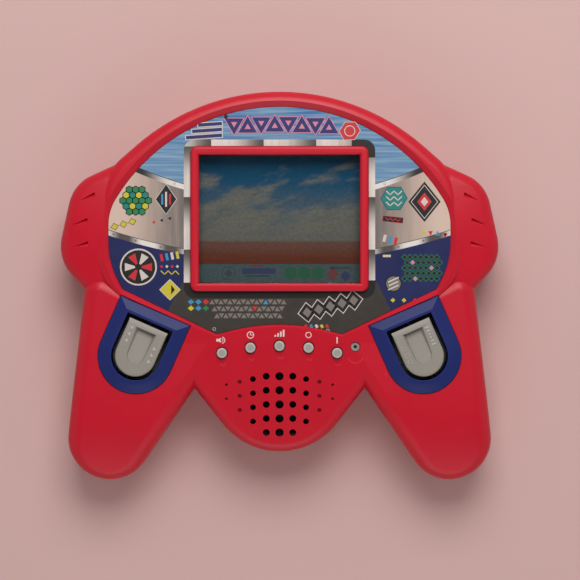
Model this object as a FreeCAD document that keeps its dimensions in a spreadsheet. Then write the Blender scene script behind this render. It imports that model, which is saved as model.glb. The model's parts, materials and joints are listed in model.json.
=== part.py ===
import FreeCAD, Part
import Sketcher
import math
import os

Vector = FreeCAD.Vector
Rotation = FreeCAD.Rotation
Placement = FreeCAD.Placement

# Handheld electronic game, lying on its back: +Z out of its face, +Y towards the top of the screen.
# The origin is on the floor, under the middle of the case. All sizes are in millimetres.

# Driving dimensions, one row each: alias, size, what it is.
SIZES = [
    ("crown_radius", 79, "plan radius of the rounded top"),
    ("crown_reach", 70.6, "from the origin to the topmost edge"),
    ("crown_turn", 41, "degrees the crown arc turns through on each side"),
    ("shoulder_reach", 12.7, "body corner under the ear, out from the end of the crown's arc"),
    ("shoulder_radius", 24, "its plan radius"),
    ("flank_spread", 2.9, "lower body corner under the ear, out from the upper one"),
    ("flank_y", 5, "lower body corner under the ear"),
    ("flank_radius", 20, "its plan radius"),
    ("hip_x", 44, "body corner inside the handle"),
    ("hip_y", -20, "body corner inside the handle"),
    ("hip_radius", 40, "its plan radius"),
    ("point_y", -77.2, "where the sides of the pointed bottom would meet"),
    ("point_radius", 26.3, "plan radius of the bottom"),
    ("body_fall_y", 12, "where the face starts to fall back towards the bottom"),
    ("body_fall_radius", 380, "radius of that fall"),
    ("case_round", 4.2, "edge rounding of the body"),
    ("ear_root_x", 45.5, "ear corner inside the body"),
    ("ear_root_y", 50.7, "ear corner inside the body"),
    ("ear_root_radius", 5.6, "plan radius of the ear's corners that don't show"),
    ("ear_upper_x", 74.9, "upper corner of the side ear"),
    ("ear_upper_y", 37.3, "upper corner of the side ear"),
    ("ear_upper_radius", 14, "its plan radius"),
    ("ear_lower_x", 81, "lower corner of the side ear"),
    ("ear_lower_y", 10.1, "lower corner of the side ear"),
    ("ear_lower_radius", 15, "its plan radius"),
    ("ear_tail_x", 58.6, "ear corner under the handle"),
    ("ear_tail_y", -14.6, "ear corner under the handle"),
    ("ear_dome_radius", 130, "radius of the ear's domed top"),
    ("ear_dome_x", 54, "highest point of the dome"),
    ("ear_dome_y", 24, "highest point of the dome"),
    ("ear_round", 5, "edge rounding of the ears"),
    ("grip_x", 62, "centre of the handle's round end"),
    ("grip_y", -55.5, "centre of the handle's round end"),
    ("grip_radius", 15.1, "plan radius of the handle's round end"),
    ("nose_x", 64.8, "centre of the handle's upper end"),
    ("nose_y", -2.2, "centre of the handle's upper end"),
    ("nose_radius", 6.2, "plan radius of the handle's upper end"),
    ("grip_root_x", 28.4, "centre of the handle's inner corner, under the face"),
    ("grip_root_y", -21.6, "centre of the handle's inner corner, under the face"),
    ("grip_root_radius", 6.4, "plan radius of that corner"),
    ("grip_fall_y", -38, "where the handle's face starts to fall back"),
    ("grip_fall_radius", 90, "radius of that fall"),
    ("grip_round", 5.6, "edge rounding of the handles"),
    ("parting_height", 15.5, "seam between the two case halves"),
    ("deck_drop", 1.4, "flat face of the handles below the rim's crest"),
    ("wall", 2.2, "wall of the case"),
    ("recess_depth", 2.3, "faceplate recess below the crest"),
    ("rim_slope", 2, "width of the slope from the crest down to the faceplate"),
    ("sheet_thickness", 0.5, "printed faceplate"),
    ("fit_gap", 0.2, "clearance round a fitted piece"),
    ("rim_spread", 9.6, "how much smaller the faceplate's top arc is than the crown's"),
    ("face_reach", 65.1, "from the origin to the faceplate's top"),
    ("face_turn", 58, "degrees that its top arc turns through on each side"),
    ("face_shoulder_reach", 3.15, "faceplate flank, out from the end of its top arc"),
    ("face_shoulder_radius", 18, "plan radius of the flank's upper corner"),
    ("face_flank_y", 8.6, "faceplate flank, lower corner"),
    ("face_flank_radius", 30, "its plan radius"),
    ("face_corner_inset", 5.1, "faceplate corner over the thumb pad, in from the flank"),
    ("face_corner_y", -1, "faceplate corner over the thumb pad"),
    ("face_corner_radius", 1.5, "its plan radius"),
    ("face_point_x", 22.6, "lowest point of the faceplate"),
    ("face_point_y", -17.4, "lowest point of the faceplate"),
    ("face_point_radius", 2, "its plan radius"),
    ("face_sill_y", -11.4, "where the faceplate's bottom edges would meet"),
    ("face_sill_radius", 70, "radius of the faceplate's bottom edge"),
    ("screen_y", 24.4, "centre of the screen"),
    ("screen_width", 58.2, "visible screen"),
    ("screen_length", 46.4, "visible screen"),
    ("frame_band", 3, "width of the raised screen frame"),
    ("frame_rise", 2.8, "screen frame above the recess floor"),
    ("frame_corner", 2.4, "outer corner of the screen frame"),
    ("frame_round", 1, "edge rounding of the screen frame"),
    ("lens_flange", 2, "lens edge behind the window"),
    ("lens_flange_thickness", 1.2, "lens edge"),
    ("glass_border", 1.6, "liquid crystal panel beyond the visible screen"),
    ("glass_thickness", 2, "liquid crystal panel"),
    ("backing_thickness", 0.3, "printed card behind the panel"),
    ("strip_width", 2, "rubber contact strips under the panel"),
    ("strip_length", 50, "rubber contact strips under the panel"),
    ("strip_height", 1.9, "rubber contact strips under the panel"),
    ("holder_wall", 1.6, "frame that holds the panel"),
    ("board_thickness", 1.6, "circuit boards"),
    ("board_gap", 0.6, "main board above the battery bay"),
    ("board_half_width", 40, "main board"),
    ("board_top_y", 54, "main board"),
    ("board_step_y", -4, "where the main board narrows"),
    ("board_bottom_y", -27.8, "main board"),
    ("tongue_half_width", 30.4, "lower part of the main board"),
    ("post_x", 36.4, "main board posts"),
    ("post_upper_y", 50.4, "main board posts"),
    ("post_lower_y", -0.4, "main board posts"),
    ("post_radius", 2.6, "main board posts"),
    ("board_screw_radius", 1, "circuit board screws"),
    ("board_screw_head_radius", 2, "circuit board screws"),
    ("board_screw_head_height", 1.2, "circuit board screws"),
    ("board_screw_length", 6, "circuit board screws"),
    ("thread_gap", 0.05, "screw clearance in its post"),
    ("chip_radius", 5.4, "resin cap over the game chip"),
    ("chip_height", 1.3, "resin cap over the game chip"),
    ("capacitor_radius", 2, "capacitors"),
    ("capacitor_length", 5, "capacitors"),
    ("crystal_length", 6, "timing crystal"),
    ("crystal_width", 2, "timing crystal"),
    ("parts_gap", 2, "between the parts on the main board"),
    ("pad_x", 51.9, "centre of a thumb pad's round end"),
    ("pad_y", -25.1, "centre of a thumb pad's round end"),
    ("pad_tilt", 23.7, "degrees that the thumb pads lean inwards"),
    ("bezel_half_width", 13.7, "outside of the blue surround"),
    ("bezel_straight", 17.85, "surround, from round centre to its flat top"),
    ("well_half_width", 8.8, "inside of the blue surround"),
    ("well_straight", 13.4, "well, from round centre to its flat top"),
    ("bezel_seat", 1.2, "depth of the surround's pocket"),
    ("bezel_edge", 0.4, "surround's outer edge above the handle's face"),
    ("bezel_rise", 2, "surround's inner edge above the handle's face"),
    ("bezel_lip", 1, "flat land round the well"),
    ("skirt_wall", 1.3, "wall of the well"),
    ("skirt_depth", 7.4, "well below the handle's face"),
    ("rocker_gap", 1.4, "gap between the thumb rocker and its well"),
    ("rocker_top", 2.6, "rocker above the handle's face"),
    ("rocker_depth", 6, "rocker skirt below the handle's face"),
    ("rocker_wall", 1.4, "wall of the rocker"),
    ("rocker_roof", 3.6, "thickness of the rocker's top"),
    ("rocker_round", 0.7, "edge rounding of the rocker"),
    ("channel_half_width", 2.9, "floor of the thumb channel in the rocker"),
    ("channel_lean", 24, "degrees that the channel's walls lean outwards"),
    ("channel_straight", 9.6, "channel, from round centre to its top end"),
    ("channel_depth", 2.2, "thumb channel at its top end"),
    ("channel_slope", 8, "degrees that its floor rises towards the round end"),
    ("brow_width", 1.4, "sloped bar along the rocker's flat end"),
    ("brow_drop", 0.6, "how far that bar falls"),
    ("pivot_drop", 4.2, "rocker pivot below the handle's face"),
    ("pivot_radius", 1.2, "rocker pivot pins"),
    ("pivot_reach", 2.4, "pivot pins beyond the rocker"),
    ("running_gap", 0.1, "pivot clearance"),
    ("dome_offset", 3.8, "rubber domes either side of the rocker's axis"),
    ("dome_y", 3, "rubber domes from the centre of the pad's round end"),
    ("dome_radius", 2, "rubber domes under the rockers"),
    ("rib_radius", 1.3, "rocker ribs that press the domes"),
    ("key_board_drop", 10.4, "top of the thumb pad boards below the handle's face"),
    ("key_board_half_width", 9.4, "thumb pad boards"),
    ("key_board_margin", 6.4, "thumb pad boards beyond the well, along it"),
    ("key_post_inset", 2.6, "thumb pad board posts from the board's ends"),
    ("key_post_radius", 2, "thumb pad board posts"),
    ("mat_thickness", 0.8, "rubber keypad sheets"),
    ("mat_inset", 5.2, "rubber sheets of the thumb pads in from the board's ends"),
    ("press_gap", 0.15, "between a button and its rubber dome"),
    ("button_arc", 86, "radius of the arc that the small buttons stand on"),
    ("button_y", -21.5, "middle button"),
    ("button_pitch", 7, "degrees between the small buttons"),
    ("button_radius", 1.85, "small buttons"),
    ("button_rise", 1.2, "small buttons above the handle's face"),
    ("button_round", 0.5, "edge rounding of the small buttons"),
    ("button_gap", 0.35, "clearance round a small button"),
    ("flange_radius", 3.1, "collar that keeps a small button in"),
    ("flange_thickness", 1.1, "that collar"),
    ("flange_drop", 3, "top of that collar below the handle's face"),
    ("button_dome_radius", 2, "rubber domes under the small buttons"),
    ("keypad_margin", 0.4, "rubber keypad inside the board's edges"),
    ("keypad_top_y", -16.8, "rubber keypad"),
    ("reset_x", 27.4, "reset button"),
    ("reset_y", -21.8, "reset button"),
    ("reset_radius", 1.6, "reset button"),
    ("reset_flange_radius", 2.5, "collar of the reset button"),
    ("reset_sink", 0.7, "reset button below the handle's face"),
    ("dimple_radius", 0.5, "dimple in the reset button"),
    ("grille_pitch_x", 4.81, "sound holes, column to column"),
    ("grille_pitch_y", 5.15, "sound holes, row to row"),
    ("grille_top", -32.5, "top row of sound holes"),
    ("blind_depth", 0.9, "depth of the outer dimples, which don't go through"),
    ("speaker_y", -43, "centre of the speaker"),
    ("speaker_radius", 12.4, "speaker basket"),
    ("speaker_drop", 8.6, "speaker's front below the rim's crest"),
    ("speaker_depth", 4.6, "speaker basket"),
    ("speaker_rim", 1.2, "speaker basket's rim and floor"),
    ("cone_gap", 0.3, "clearance round the speaker cone"),
    ("cone_thickness", 0.4, "speaker cone"),
    ("cone_throat", 3.2, "small end of the speaker cone"),
    ("magnet_radius", 6.5, "speaker magnet"),
    ("magnet_depth", 3, "speaker magnet"),
    ("collar_wall", 1.3, "collar that holds the speaker"),
    ("cell_radius", 7.1, "battery cells"),
    ("cell_length", 49.2, "battery cells without their caps"),
    ("cell_cap_radius", 2.7, "caps of the cells"),
    ("cell_cap_length", 1.2, "caps of the cells"),
    ("cell_spacing", 1.2, "between the two cells"),
    ("cell_lift", 0.3, "cells above the door"),
    ("cell_gap", 0.5, "cells to the side walls of their bay"),
    ("cell_headroom", 0.9, "cells to the roof of their bay"),
    ("contact_room", 6.6, "bay longer than a cell"),
    ("bay_y", 18, "centre of the battery bay"),
    ("bay_wall", 1.6, "bay walls"),
    ("bay_ledge", 1.6, "ledge that the door closes on"),
    ("contact_thickness", 0.4, "contact plates"),
    ("contact_width", 11, "contact plates"),
    ("leaf_width", 6, "contact leaves"),
    ("leaf_turn", 38, "degrees that a contact leaf stands off its plate"),
    ("tab_width", 3, "contact tabs that reach up to the board"),
    ("door_sink", 0.3, "battery door below the back face"),
    ("hook_x", 16, "hooks of the battery door"),
    ("hook_width", 7, "hooks of the battery door"),
    ("hook_reach", 1.6, "hooks beyond the door's edge"),
    ("hook_thickness", 1, "hooks of the battery door"),
    ("latch_width", 9, "latch tongue of the battery door"),
    ("latch_height", 3, "latch tongue above the door"),
    ("latch_thickness", 1.2, "latch tongue"),
    ("latch_gap", 0.6, "latch tongue to the bay wall"),
    ("screw_radius", 1.4, "case screw shank"),
    ("screw_head_radius", 2.6, "case screw head"),
    ("screw_head_height", 1.6, "case screw head"),
    ("screw_seat", 8, "case screw head above the back face"),
    ("screw_length", 12, "case screw shank"),
    ("boss_radius", 3.6, "case screw posts"),
    ("crown_screw_x", 29, "upper case screws"),
    ("crown_screw_y", 58.6, "upper case screws"),
    ("ear_screw_x", 69, "side case screws"),
    ("ear_screw_y", 18, "side case screws"),
    ("grip_screw_x", 60.4, "handle case screws"),
    ("grip_screw_y", -57, "handle case screws"),
    ("back_round", 5, "edge rounding of the back"),
    ("ear_lift", 3, "underside of the ears above the back"),
    ("lead_radius", 0.6, "insulated wires"),
    ("lead_bend", 1.2, "bend radius of the insulated wires"),
    ("lead_inset", 1.5, "where the wires end, in from the board's edge"),
    ("lead_x", 3, "speaker wires either side of the middle"),
    ("lead_drop", 1.6, "speaker wires below the speaker basket"),
    ("ribbon_width", 6, "flat cables of the thumb pad boards"),
    ("ribbon_thickness", 0.3, "flat cables of the thumb pad boards"),
    ("ribbon_inner_x", 27, "where the flat cables meet the main board"),
    ("ribbon_y", -15.4, "flat cables"),
    ("notch_depth", 1.3, "grip notches in the ears"),
    ("notch_width", 1.9, "grip notches in the ears"),
    ("notch_skew", 0.65, "how far along a notch its wide end reaches"),
]

# Sound holes by column, from the middle outwards: how many, how much lower the top one is, its radius
HOLE_COLUMNS = [(5, 0, 1.5), (5, 0, 1.25), (4, 1.05, 1.05), (3, 2.1, 0.75), (2, 3.1, 0.5)]
FIRST_BLIND_COLUMN = 3
# Grip notches on the right ear: the ends of each one's upper edge
NOTCHES = [((66.8, 34), (72.6, 30.8)), ((69.4, 24.7), (75.8, 21.8)), ((69.1, 16.3), (75.3, 14))]
BUTTON_NAMES = ["sound_button", "time_button", "level_button", "off_button", "on_button"]
SIDES = [("left", -1), ("right", 1)]

doc = FreeCAD.newDocument("handheld_game")
sheet = doc.addObject("Spreadsheet::Sheet", "Sizes")
UP = Vector(0, 0, 1)
# Heights and slopes that differ by less are the same, and ends that lie nearer than this meet
SAME = 0.01
MEET = 1e-6


class Size(float):
    """A number that remembers the sheet expression it came from."""

    def __new__(cls, value, text=None):
        size = super().__new__(cls, value)
        size.text = text or f"({float(value)!r})"
        return size

    def worked(self, sign, other, value):
        other = other if isinstance(other, Size) else Size(other)
        return Size(value, f"({self.text} {sign} {other.text})")

    def __add__(self, other):
        return self.worked("+", other, float(self) + float(other))

    def __sub__(self, other):
        return self.worked("-", other, float(self) - float(other))

    def __mul__(self, other):
        return self.worked("*", other, float(self) * float(other))

    def __truediv__(self, other):
        return self.worked("/", other, float(self) / float(other))

    def __neg__(self):
        return Size(-float(self), f"(0 - {self.text})")

    def __radd__(self, other):
        return Size(other) + self

    def __rsub__(self, other):
        return Size(other) - self

    def __rmul__(self, other):
        return Size(other) * self


class Sheet:
    """The sheet's sizes by name."""


def fill_sheet():
    for row, (alias, value, note) in enumerate(SIZES, start=1):
        sheet.set(f"A{row}", note)
        sheet.set(f"B{row}", str(value))
        sheet.setAlias(f"B{row}", alias)
    doc.recompute()
    sizes = Sheet()
    for alias, _, _ in SIZES:
        setattr(sizes, alias, Size(sheet.get(alias), f"Sizes.{alias}"))
    return sizes


s = fill_sheet()

# Heights worked out from the driving sizes, from the back face up through the cells, board and screen
door_top = s.wall - s.fit_gap
cell_height = door_top + s.cell_lift + s.cell_radius
bay_roof = cell_height + s.cell_radius + s.cell_headroom
tub_top = bay_roof + s.bay_wall
board_height = tub_top + s.board_gap
board_top = board_height + s.board_thickness
glass_bottom = board_top + s.strip_height
glass_top = glass_bottom + s.glass_thickness
holder_ledge = glass_bottom - s.backing_thickness
lens_bottom = glass_top + s.fit_gap
recess_underside = lens_bottom + s.lens_flange_thickness
recess_floor = recess_underside + s.wall
frame_top = recess_floor + s.frame_rise
crest_height = recess_floor + s.recess_depth
deck_height = crest_height - s.deck_drop
pocket_floor = deck_height - s.bezel_seat
skirt_bottom = deck_height - s.skirt_depth
rocker_bottom = deck_height - s.rocker_depth
pivot_height = deck_height - s.pivot_drop
key_board_top = deck_height - s.key_board_drop
key_board_bottom = key_board_top - s.board_thickness
mat_top = key_board_top + s.mat_thickness
keypad_top = board_top + s.mat_thickness
flange_top = deck_height - s.flange_drop
flange_bottom = flange_top - s.flange_thickness
speaker_front = crest_height - s.speaker_drop
speaker_back = speaker_front - s.speaker_depth
hook_bottom = s.wall + s.fit_gap

# Widths and places worked out from them
face_radius = s.crown_radius - s.rim_spread
key_board_upper = s.well_straight + s.key_board_margin
key_board_lower = s.well_half_width + s.key_board_margin
rocker_half_width = s.well_half_width - s.rocker_gap
rocker_straight = s.well_straight - s.rocker_gap
cell_pitch = 2 * s.cell_radius + s.cell_spacing
bay_length = s.cell_length + s.cell_cap_length + s.contact_room
bay_width = cell_pitch + 2 * s.cell_radius + 2 * s.cell_gap
door_length = bay_length + 2 * s.bay_ledge
door_width = bay_width + 2 * s.bay_ledge
hinge_y = s.bay_y + door_width / 2
hook_room = s.hook_reach + 2 * s.fit_gap


# Plan outlines

def rounded_wire(points):
    """A closed wire through (x, y, radius) corners, each a tangent arc."""
    joints = []
    for i, (x, y, radius) in enumerate(points):
        corner = Vector(x, y, 0)
        back = Vector(*points[i - 1][:2], 0) - corner
        ahead = Vector(*points[(i + 1) % len(points)][:2], 0) - corner
        back.normalize()
        ahead.normalize()
        half = back.getAngle(ahead) / 2
        middle = (back + ahead).normalize()
        centre = corner + middle * (radius / math.sin(half))
        run = radius / math.tan(half)
        joints.append((corner + back * run, centre - middle * radius, corner + ahead * run))
    edges = []
    for i, (start, middle, end) in enumerate(joints):
        edges.append(Part.Arc(start, middle, end).toShape())
        following = joints[(i + 1) % len(joints)][0]
        if (following - end).Length > MEET:
            edges.append(Part.LineSegment(end, following).toShape())
    return Part.Wire(edges)


def both_sides(right):
    """The right-hand corners, then the same ones mirrored."""
    return right + [(-x, y, radius) for x, y, radius in reversed(right) if x > 0]


def crown_corner(top, radius, turn):
    """The corner that an arc of this radius rounds off at the top of an outline."""
    return (0, top + radius * (1 / math.cos(math.radians(turn)) - 1), radius)


def shoulder(top, radius, turn, reach):
    """Where the straight run that leaves such an arc ends, some reach further out."""
    turn = math.radians(turn)
    end_x = radius * math.sin(turn)
    end_y = top - radius * (1 - math.cos(turn))
    return end_x + reach, end_y - reach * math.tan(turn)


def belt_wire(circles):
    """The belt round a counterclockwise set of circles, as tangents and arcs."""
    runs = []
    for i, (x, y, radius) in enumerate(circles):
        next_x, next_y, next_radius = circles[(i + 1) % len(circles)]
        across = Vector(next_x - x, next_y - y, 0)
        angle = math.atan2(across.y, across.x) - math.acos((radius - next_radius) / across.Length)
        out = Vector(math.cos(angle), math.sin(angle), 0)
        runs.append((Vector(x, y, 0) + out * radius, Vector(next_x, next_y, 0) + out * next_radius, angle))
    edges = []
    for i, (x, y, radius) in enumerate(circles):
        before, after = runs[i - 1], runs[i]
        middle = before[2] + (after[2] - before[2]) % (2 * math.pi) / 2
        crest = Vector(x + radius * math.cos(middle), y + radius * math.sin(middle), 0)
        edges.append(Part.Arc(before[1], crest, after[0]).toShape())
        edges.append(Part.LineSegment(after[0], after[1]).toShape())
    return Part.Wire(edges)


def body_outline():
    """The middle of the case: crown, flanks and the pointed bottom."""
    shoulder_x, shoulder_y = shoulder(s.crown_reach, s.crown_radius, s.crown_turn, s.shoulder_reach)
    return rounded_wire(both_sides([
        crown_corner(s.crown_reach, s.crown_radius, s.crown_turn),
        (shoulder_x, shoulder_y, s.shoulder_radius),
        (shoulder_x + s.flank_spread, s.flank_y, s.flank_radius),
        (s.hip_x, s.hip_y, s.hip_radius),
        (0, s.point_y, s.point_radius),
    ]))


def ear_outline():
    """The right ear, with its root inside the body and its tail under the handle."""
    return rounded_wire([
        (s.ear_root_x, s.ear_root_y, s.ear_root_radius),
        (s.ear_upper_x, s.ear_upper_y, s.ear_upper_radius),
        (s.ear_lower_x, s.ear_lower_y, s.ear_lower_radius),
        (s.ear_tail_x, s.ear_tail_y, s.ear_root_radius),
        (s.hip_x, s.flank_y, s.ear_root_radius),
    ])


def grip_outline():
    """The right handle."""
    return belt_wire([
        (s.grip_x, s.grip_y, s.grip_radius),
        (s.nose_x, s.nose_y, s.nose_radius),
        (s.grip_root_x, s.grip_root_y, s.grip_root_radius),
    ])


def face_outline(grow=0.0):
    """The printed faceplate, or its outline moved out by grow."""
    flank_x, shoulder_y = shoulder(s.face_reach, face_radius, s.face_turn, s.face_shoulder_reach)
    wire = rounded_wire(both_sides([
        crown_corner(s.face_reach, face_radius, s.face_turn),
        (flank_x, shoulder_y, s.face_shoulder_radius),
        (flank_x, s.face_flank_y, s.face_flank_radius),
        (flank_x - s.face_corner_inset, s.face_corner_y, s.face_corner_radius),
        (s.face_point_x, s.face_point_y, s.face_point_radius),
        (0, s.face_sill_y, s.face_sill_radius),
    ]))
    return wire.makeOffset2D(grow) if grow else wire


def prism(wire, bottom, top):
    """The solid over a plan outline between two heights."""
    solid = Part.Face(wire).extrude(UP * (float(top) - float(bottom)))
    solid.translate(UP * float(bottom))
    return solid


def lifted(wire, height):
    """The wire, moved up to a height."""
    wire.translate(UP * float(height))
    return wire


def box_outline(low_x, low_y, high_x, high_y):
    plan = [(low_x, low_y), (high_x, low_y), (high_x, high_y), (low_x, high_y), (low_x, low_y)]
    return Part.makePolygon([Vector(x, y, 0) for x, y in plan])


def screen_outline(grow):
    """The visible screen, or its outline moved out by grow on all sides."""
    half_width = s.screen_width / 2 + grow
    half_length = s.screen_length / 2 + grow
    return box_outline(-half_width, s.screen_y - half_length, half_width, s.screen_y + half_length)


def d_outline(half_width, straight):
    """A flat-topped, round-bottomed outline, with the centre of its round end as its origin."""
    left, right = Vector(-half_width, 0, 0), Vector(half_width, 0, 0)
    rise = Vector(0, straight, 0)
    return Part.Wire([
        Part.Arc(left, Vector(0, -half_width, 0), right).toShape(),
        Part.LineSegment(right, right + rise).toShape(),
        Part.LineSegment(right + rise, left + rise).toShape(),
        Part.LineSegment(left + rise, left).toShape(),
    ])


def cylinder(radius, bottom, top, x=0, y=0):
    """An upright cylinder between two heights."""
    return Part.makeCylinder(radius, top - bottom, Vector(x, y, bottom))


def pad_placement(side, height=0.0):
    """Where a thumb pad's own axes lie on the case."""
    return Placement(Vector(side * s.pad_x, s.pad_y, height), Rotation(UP, side * s.pad_tilt))


def at_pad(shape, side):
    """A copy of a shape that was drawn in a thumb pad's own axes, moved to its place."""
    moved = shape.copy()
    moved.Placement = pad_placement(side).multiply(shape.Placement)
    return moved


def mirrored(shape):
    return shape.mirror(Vector(0, 0, 0), Vector(1, 0, 0))


# Case halves

def top_edges(solid):
    """Edges that lie at the solid's highest level."""
    return [edge for edge in solid.Edges if edge.BoundBox.ZMin > solid.BoundBox.ZMax - SAME]


def edge_loop(solid, height, above):
    """Edges beyond a height where an upright wall meets the top or bottom face."""
    found = []
    for edge in solid.Edges:
        box = edge.BoundBox
        if above and box.ZMin <= height or not above and box.ZMax >= height:
            continue
        upright = []
        for face in solid.Faces:
            if any(edge.isSame(other) for other in face.Edges):
                middle = edge.valueAt((edge.FirstParameter + edge.LastParameter) / 2)
                upright.append(abs(face.normalAt(*face.Surface.parameter(middle)).z) < SAME)
        if sorted(upright) == [False, True]:
            found.append(edge)
    return found


def fall_block(top, start_y, radius):
    """All that lies under a face which is level, then falls back on an arc towards the bottom."""
    reach = 2 * s.crown_reach
    end_y = s.point_y
    angle = math.asin((start_y - end_y) / radius)
    centre = Vector(-reach, start_y, top - radius)
    middle = centre + Vector(0, -math.sin(angle / 2), math.cos(angle / 2)) * float(radius)
    end = centre + Vector(0, -math.sin(angle), math.cos(angle)) * float(radius)
    back = Vector(-reach, reach, top)
    start = Vector(-reach, start_y, top)
    below = [Vector(-reach, end_y, -reach), Vector(-reach, reach, -reach)]
    edges = [Part.LineSegment(back, start).toShape(), Part.Arc(start, middle, end).toShape()]
    edges += [Part.LineSegment(a, b).toShape() for a, b in zip([end] + below, below + [back])]
    return Part.Face(Part.Wire(edges)).extrude(Vector(2 * reach, 0, 0))


def inset_wire(wire, inset):
    return wire.makeOffset2D(-inset) if inset else wire


def front_form(inset, bottom):
    """The front half's form as one solid, drawn in by inset from its outer faces."""
    inset = float(inset)
    above = crest_height + s.wall

    body = prism(inset_wire(body_outline(), inset), bottom, above)
    body = body.common(fall_block(crest_height - inset, s.body_fall_y, s.body_fall_radius - inset))
    body = body.makeFillet(s.case_round - inset, edge_loop(body, s.parting_height, True))

    dome_centre = Vector(s.ear_dome_x, s.ear_dome_y, crest_height - s.ear_dome_radius)
    ear = prism(inset_wire(ear_outline(), inset), bottom, above)
    ear = ear.common(Part.makeSphere(s.ear_dome_radius - inset, dome_centre))
    ear = ear.makeFillet(s.ear_round - inset, edge_loop(ear, s.parting_height, True))

    grip = prism(inset_wire(grip_outline(), inset), bottom, above)
    grip = grip.common(fall_block(deck_height - inset, s.grip_fall_y, s.grip_fall_radius - inset))
    grip = grip.makeFillet(s.grip_round - inset, edge_loop(grip, s.parting_height, True))
    return body.fuse([ear, mirrored(ear), grip, mirrored(grip)])


def back_form(inset, top):
    """The rear half's form as one solid, drawn in by inset from its outer faces."""
    inset = float(inset)
    solids = []
    for outline, lift in [(body_outline(), 0), (ear_outline(), s.ear_lift), (grip_outline(), 0)]:
        solid = prism(inset_wire(outline, inset), lift + inset, top)
        lower_edges = edge_loop(solid, s.parting_height - s.wall, False)
        solids.append(solid.makeFillet(s.back_round - inset, lower_edges))
    body, ear, grip = solids
    return body.fuse([ear, mirrored(ear), grip, mirrored(grip)])


def case_screw_places():
    right = [(s.crown_screw_x, s.crown_screw_y), (s.ear_screw_x, s.ear_screw_y)]
    right.append((s.grip_screw_x, s.grip_screw_y))
    return [(side * x, y) for _, side in SIDES for x, y in right]


def board_screw_places():
    return [(side * s.post_x, y) for _, side in SIDES for y in (s.post_upper_y, s.post_lower_y)]


def key_screw_places():
    """Along a thumb pad's own axis, from the centre of its round end."""
    return [key_board_upper - s.key_post_inset, s.key_post_inset - key_board_lower]


def key_screw_points():
    return [pad_placement(side).multVec(Vector(0, y, 0)) for _, side in SIDES for y in key_screw_places()]


def button_places():
    turns = [(i - 2) * s.button_pitch for i in range(len(BUTTON_NAMES))]
    centre_y = s.button_y - s.button_arc
    across = [s.button_arc * math.sin(math.radians(turn)) for turn in turns]
    along = [centre_y + s.button_arc * math.cos(math.radians(turn)) for turn in turns]
    return list(zip(across, along))


def sound_holes(first, last):
    """Places and radii of the sound holes in the columns from first to last, counted from the middle."""
    holes = []
    for column in range(first, last):
        count, drop, radius = HOLE_COLUMNS[column]
        for row in range(count):
            y = s.grille_top - drop - row * s.grille_pitch_y
            holes += [(side * column * s.grille_pitch_x, y, radius) for side in ((-1, 1) if column else (1,))]
    return holes


def face_height(y):
    """Height of the body's face at a distance along the case."""
    fall = max(s.body_fall_y - y, 0)
    return crest_height - s.body_fall_radius + math.sqrt(s.body_fall_radius ** 2 - fall ** 2)


def ear_height(x, y):
    """Height of the ear's domed face."""
    flat = (x - s.ear_dome_x) ** 2 + (y - s.ear_dome_y) ** 2
    return crest_height - s.ear_dome_radius + math.sqrt(s.ear_dome_radius ** 2 - flat)


def notch_cut(start, end):
    """A wedge that is deepest under the start of its upper edge and runs out below it."""
    start, end = Vector(*start, 0), Vector(*end, 0)
    run = (end - start).normalize()
    side = start + Vector(run.y, -run.x, 0) * float(s.notch_width) + run * float(s.notch_skew)
    start, end, side = [Vector(p.x, p.y, ear_height(p.x, p.y) + s.running_gap) for p in (start, end, side)]
    deep = start - UP * float(s.notch_depth + s.running_gap)
    faces = [(start, end, side), (start, deep, end), (end, deep, side), (side, deep, start)]
    return Part.Solid(Part.Shell([Part.Face(Part.makePolygon([a, b, c, a])) for a, b, c in faces]))


def pad_prism(half_width, straight, bottom, top, side):
    return at_pad(prism(d_outline(half_width, straight), bottom, top), side)


def front_supports():
    """What stands inside the front half: screw posts, speaker collar, and floors under the surrounds."""
    top = crest_height
    solids = [cylinder(s.boss_radius, s.parting_height, top, x, y) for x, y in case_screw_places()]
    solids += [cylinder(s.post_radius, board_top, top, x, y) for x, y in board_screw_places()]
    solids += [cylinder(s.key_post_radius, key_board_top, top, p.x, p.y) for p in key_screw_points()]
    bore = s.speaker_radius + s.fit_gap
    collar = cylinder(bore + s.collar_wall, speaker_back + s.speaker_rim, top, 0, s.speaker_y)
    collar = collar.cut([
        cylinder(bore, s.parting_height, speaker_front, 0, s.speaker_y),
        cylinder(s.speaker_radius - s.speaker_rim, s.parting_height, top + s.wall, 0, s.speaker_y),
    ])
    solids.append(collar)
    grow = s.fit_gap + s.skirt_wall
    seat = s.bezel_half_width + grow, s.bezel_straight + grow
    solids += [pad_prism(*seat, pocket_floor - s.wall, top, side) for _, side in SIDES]
    return solids


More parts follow.
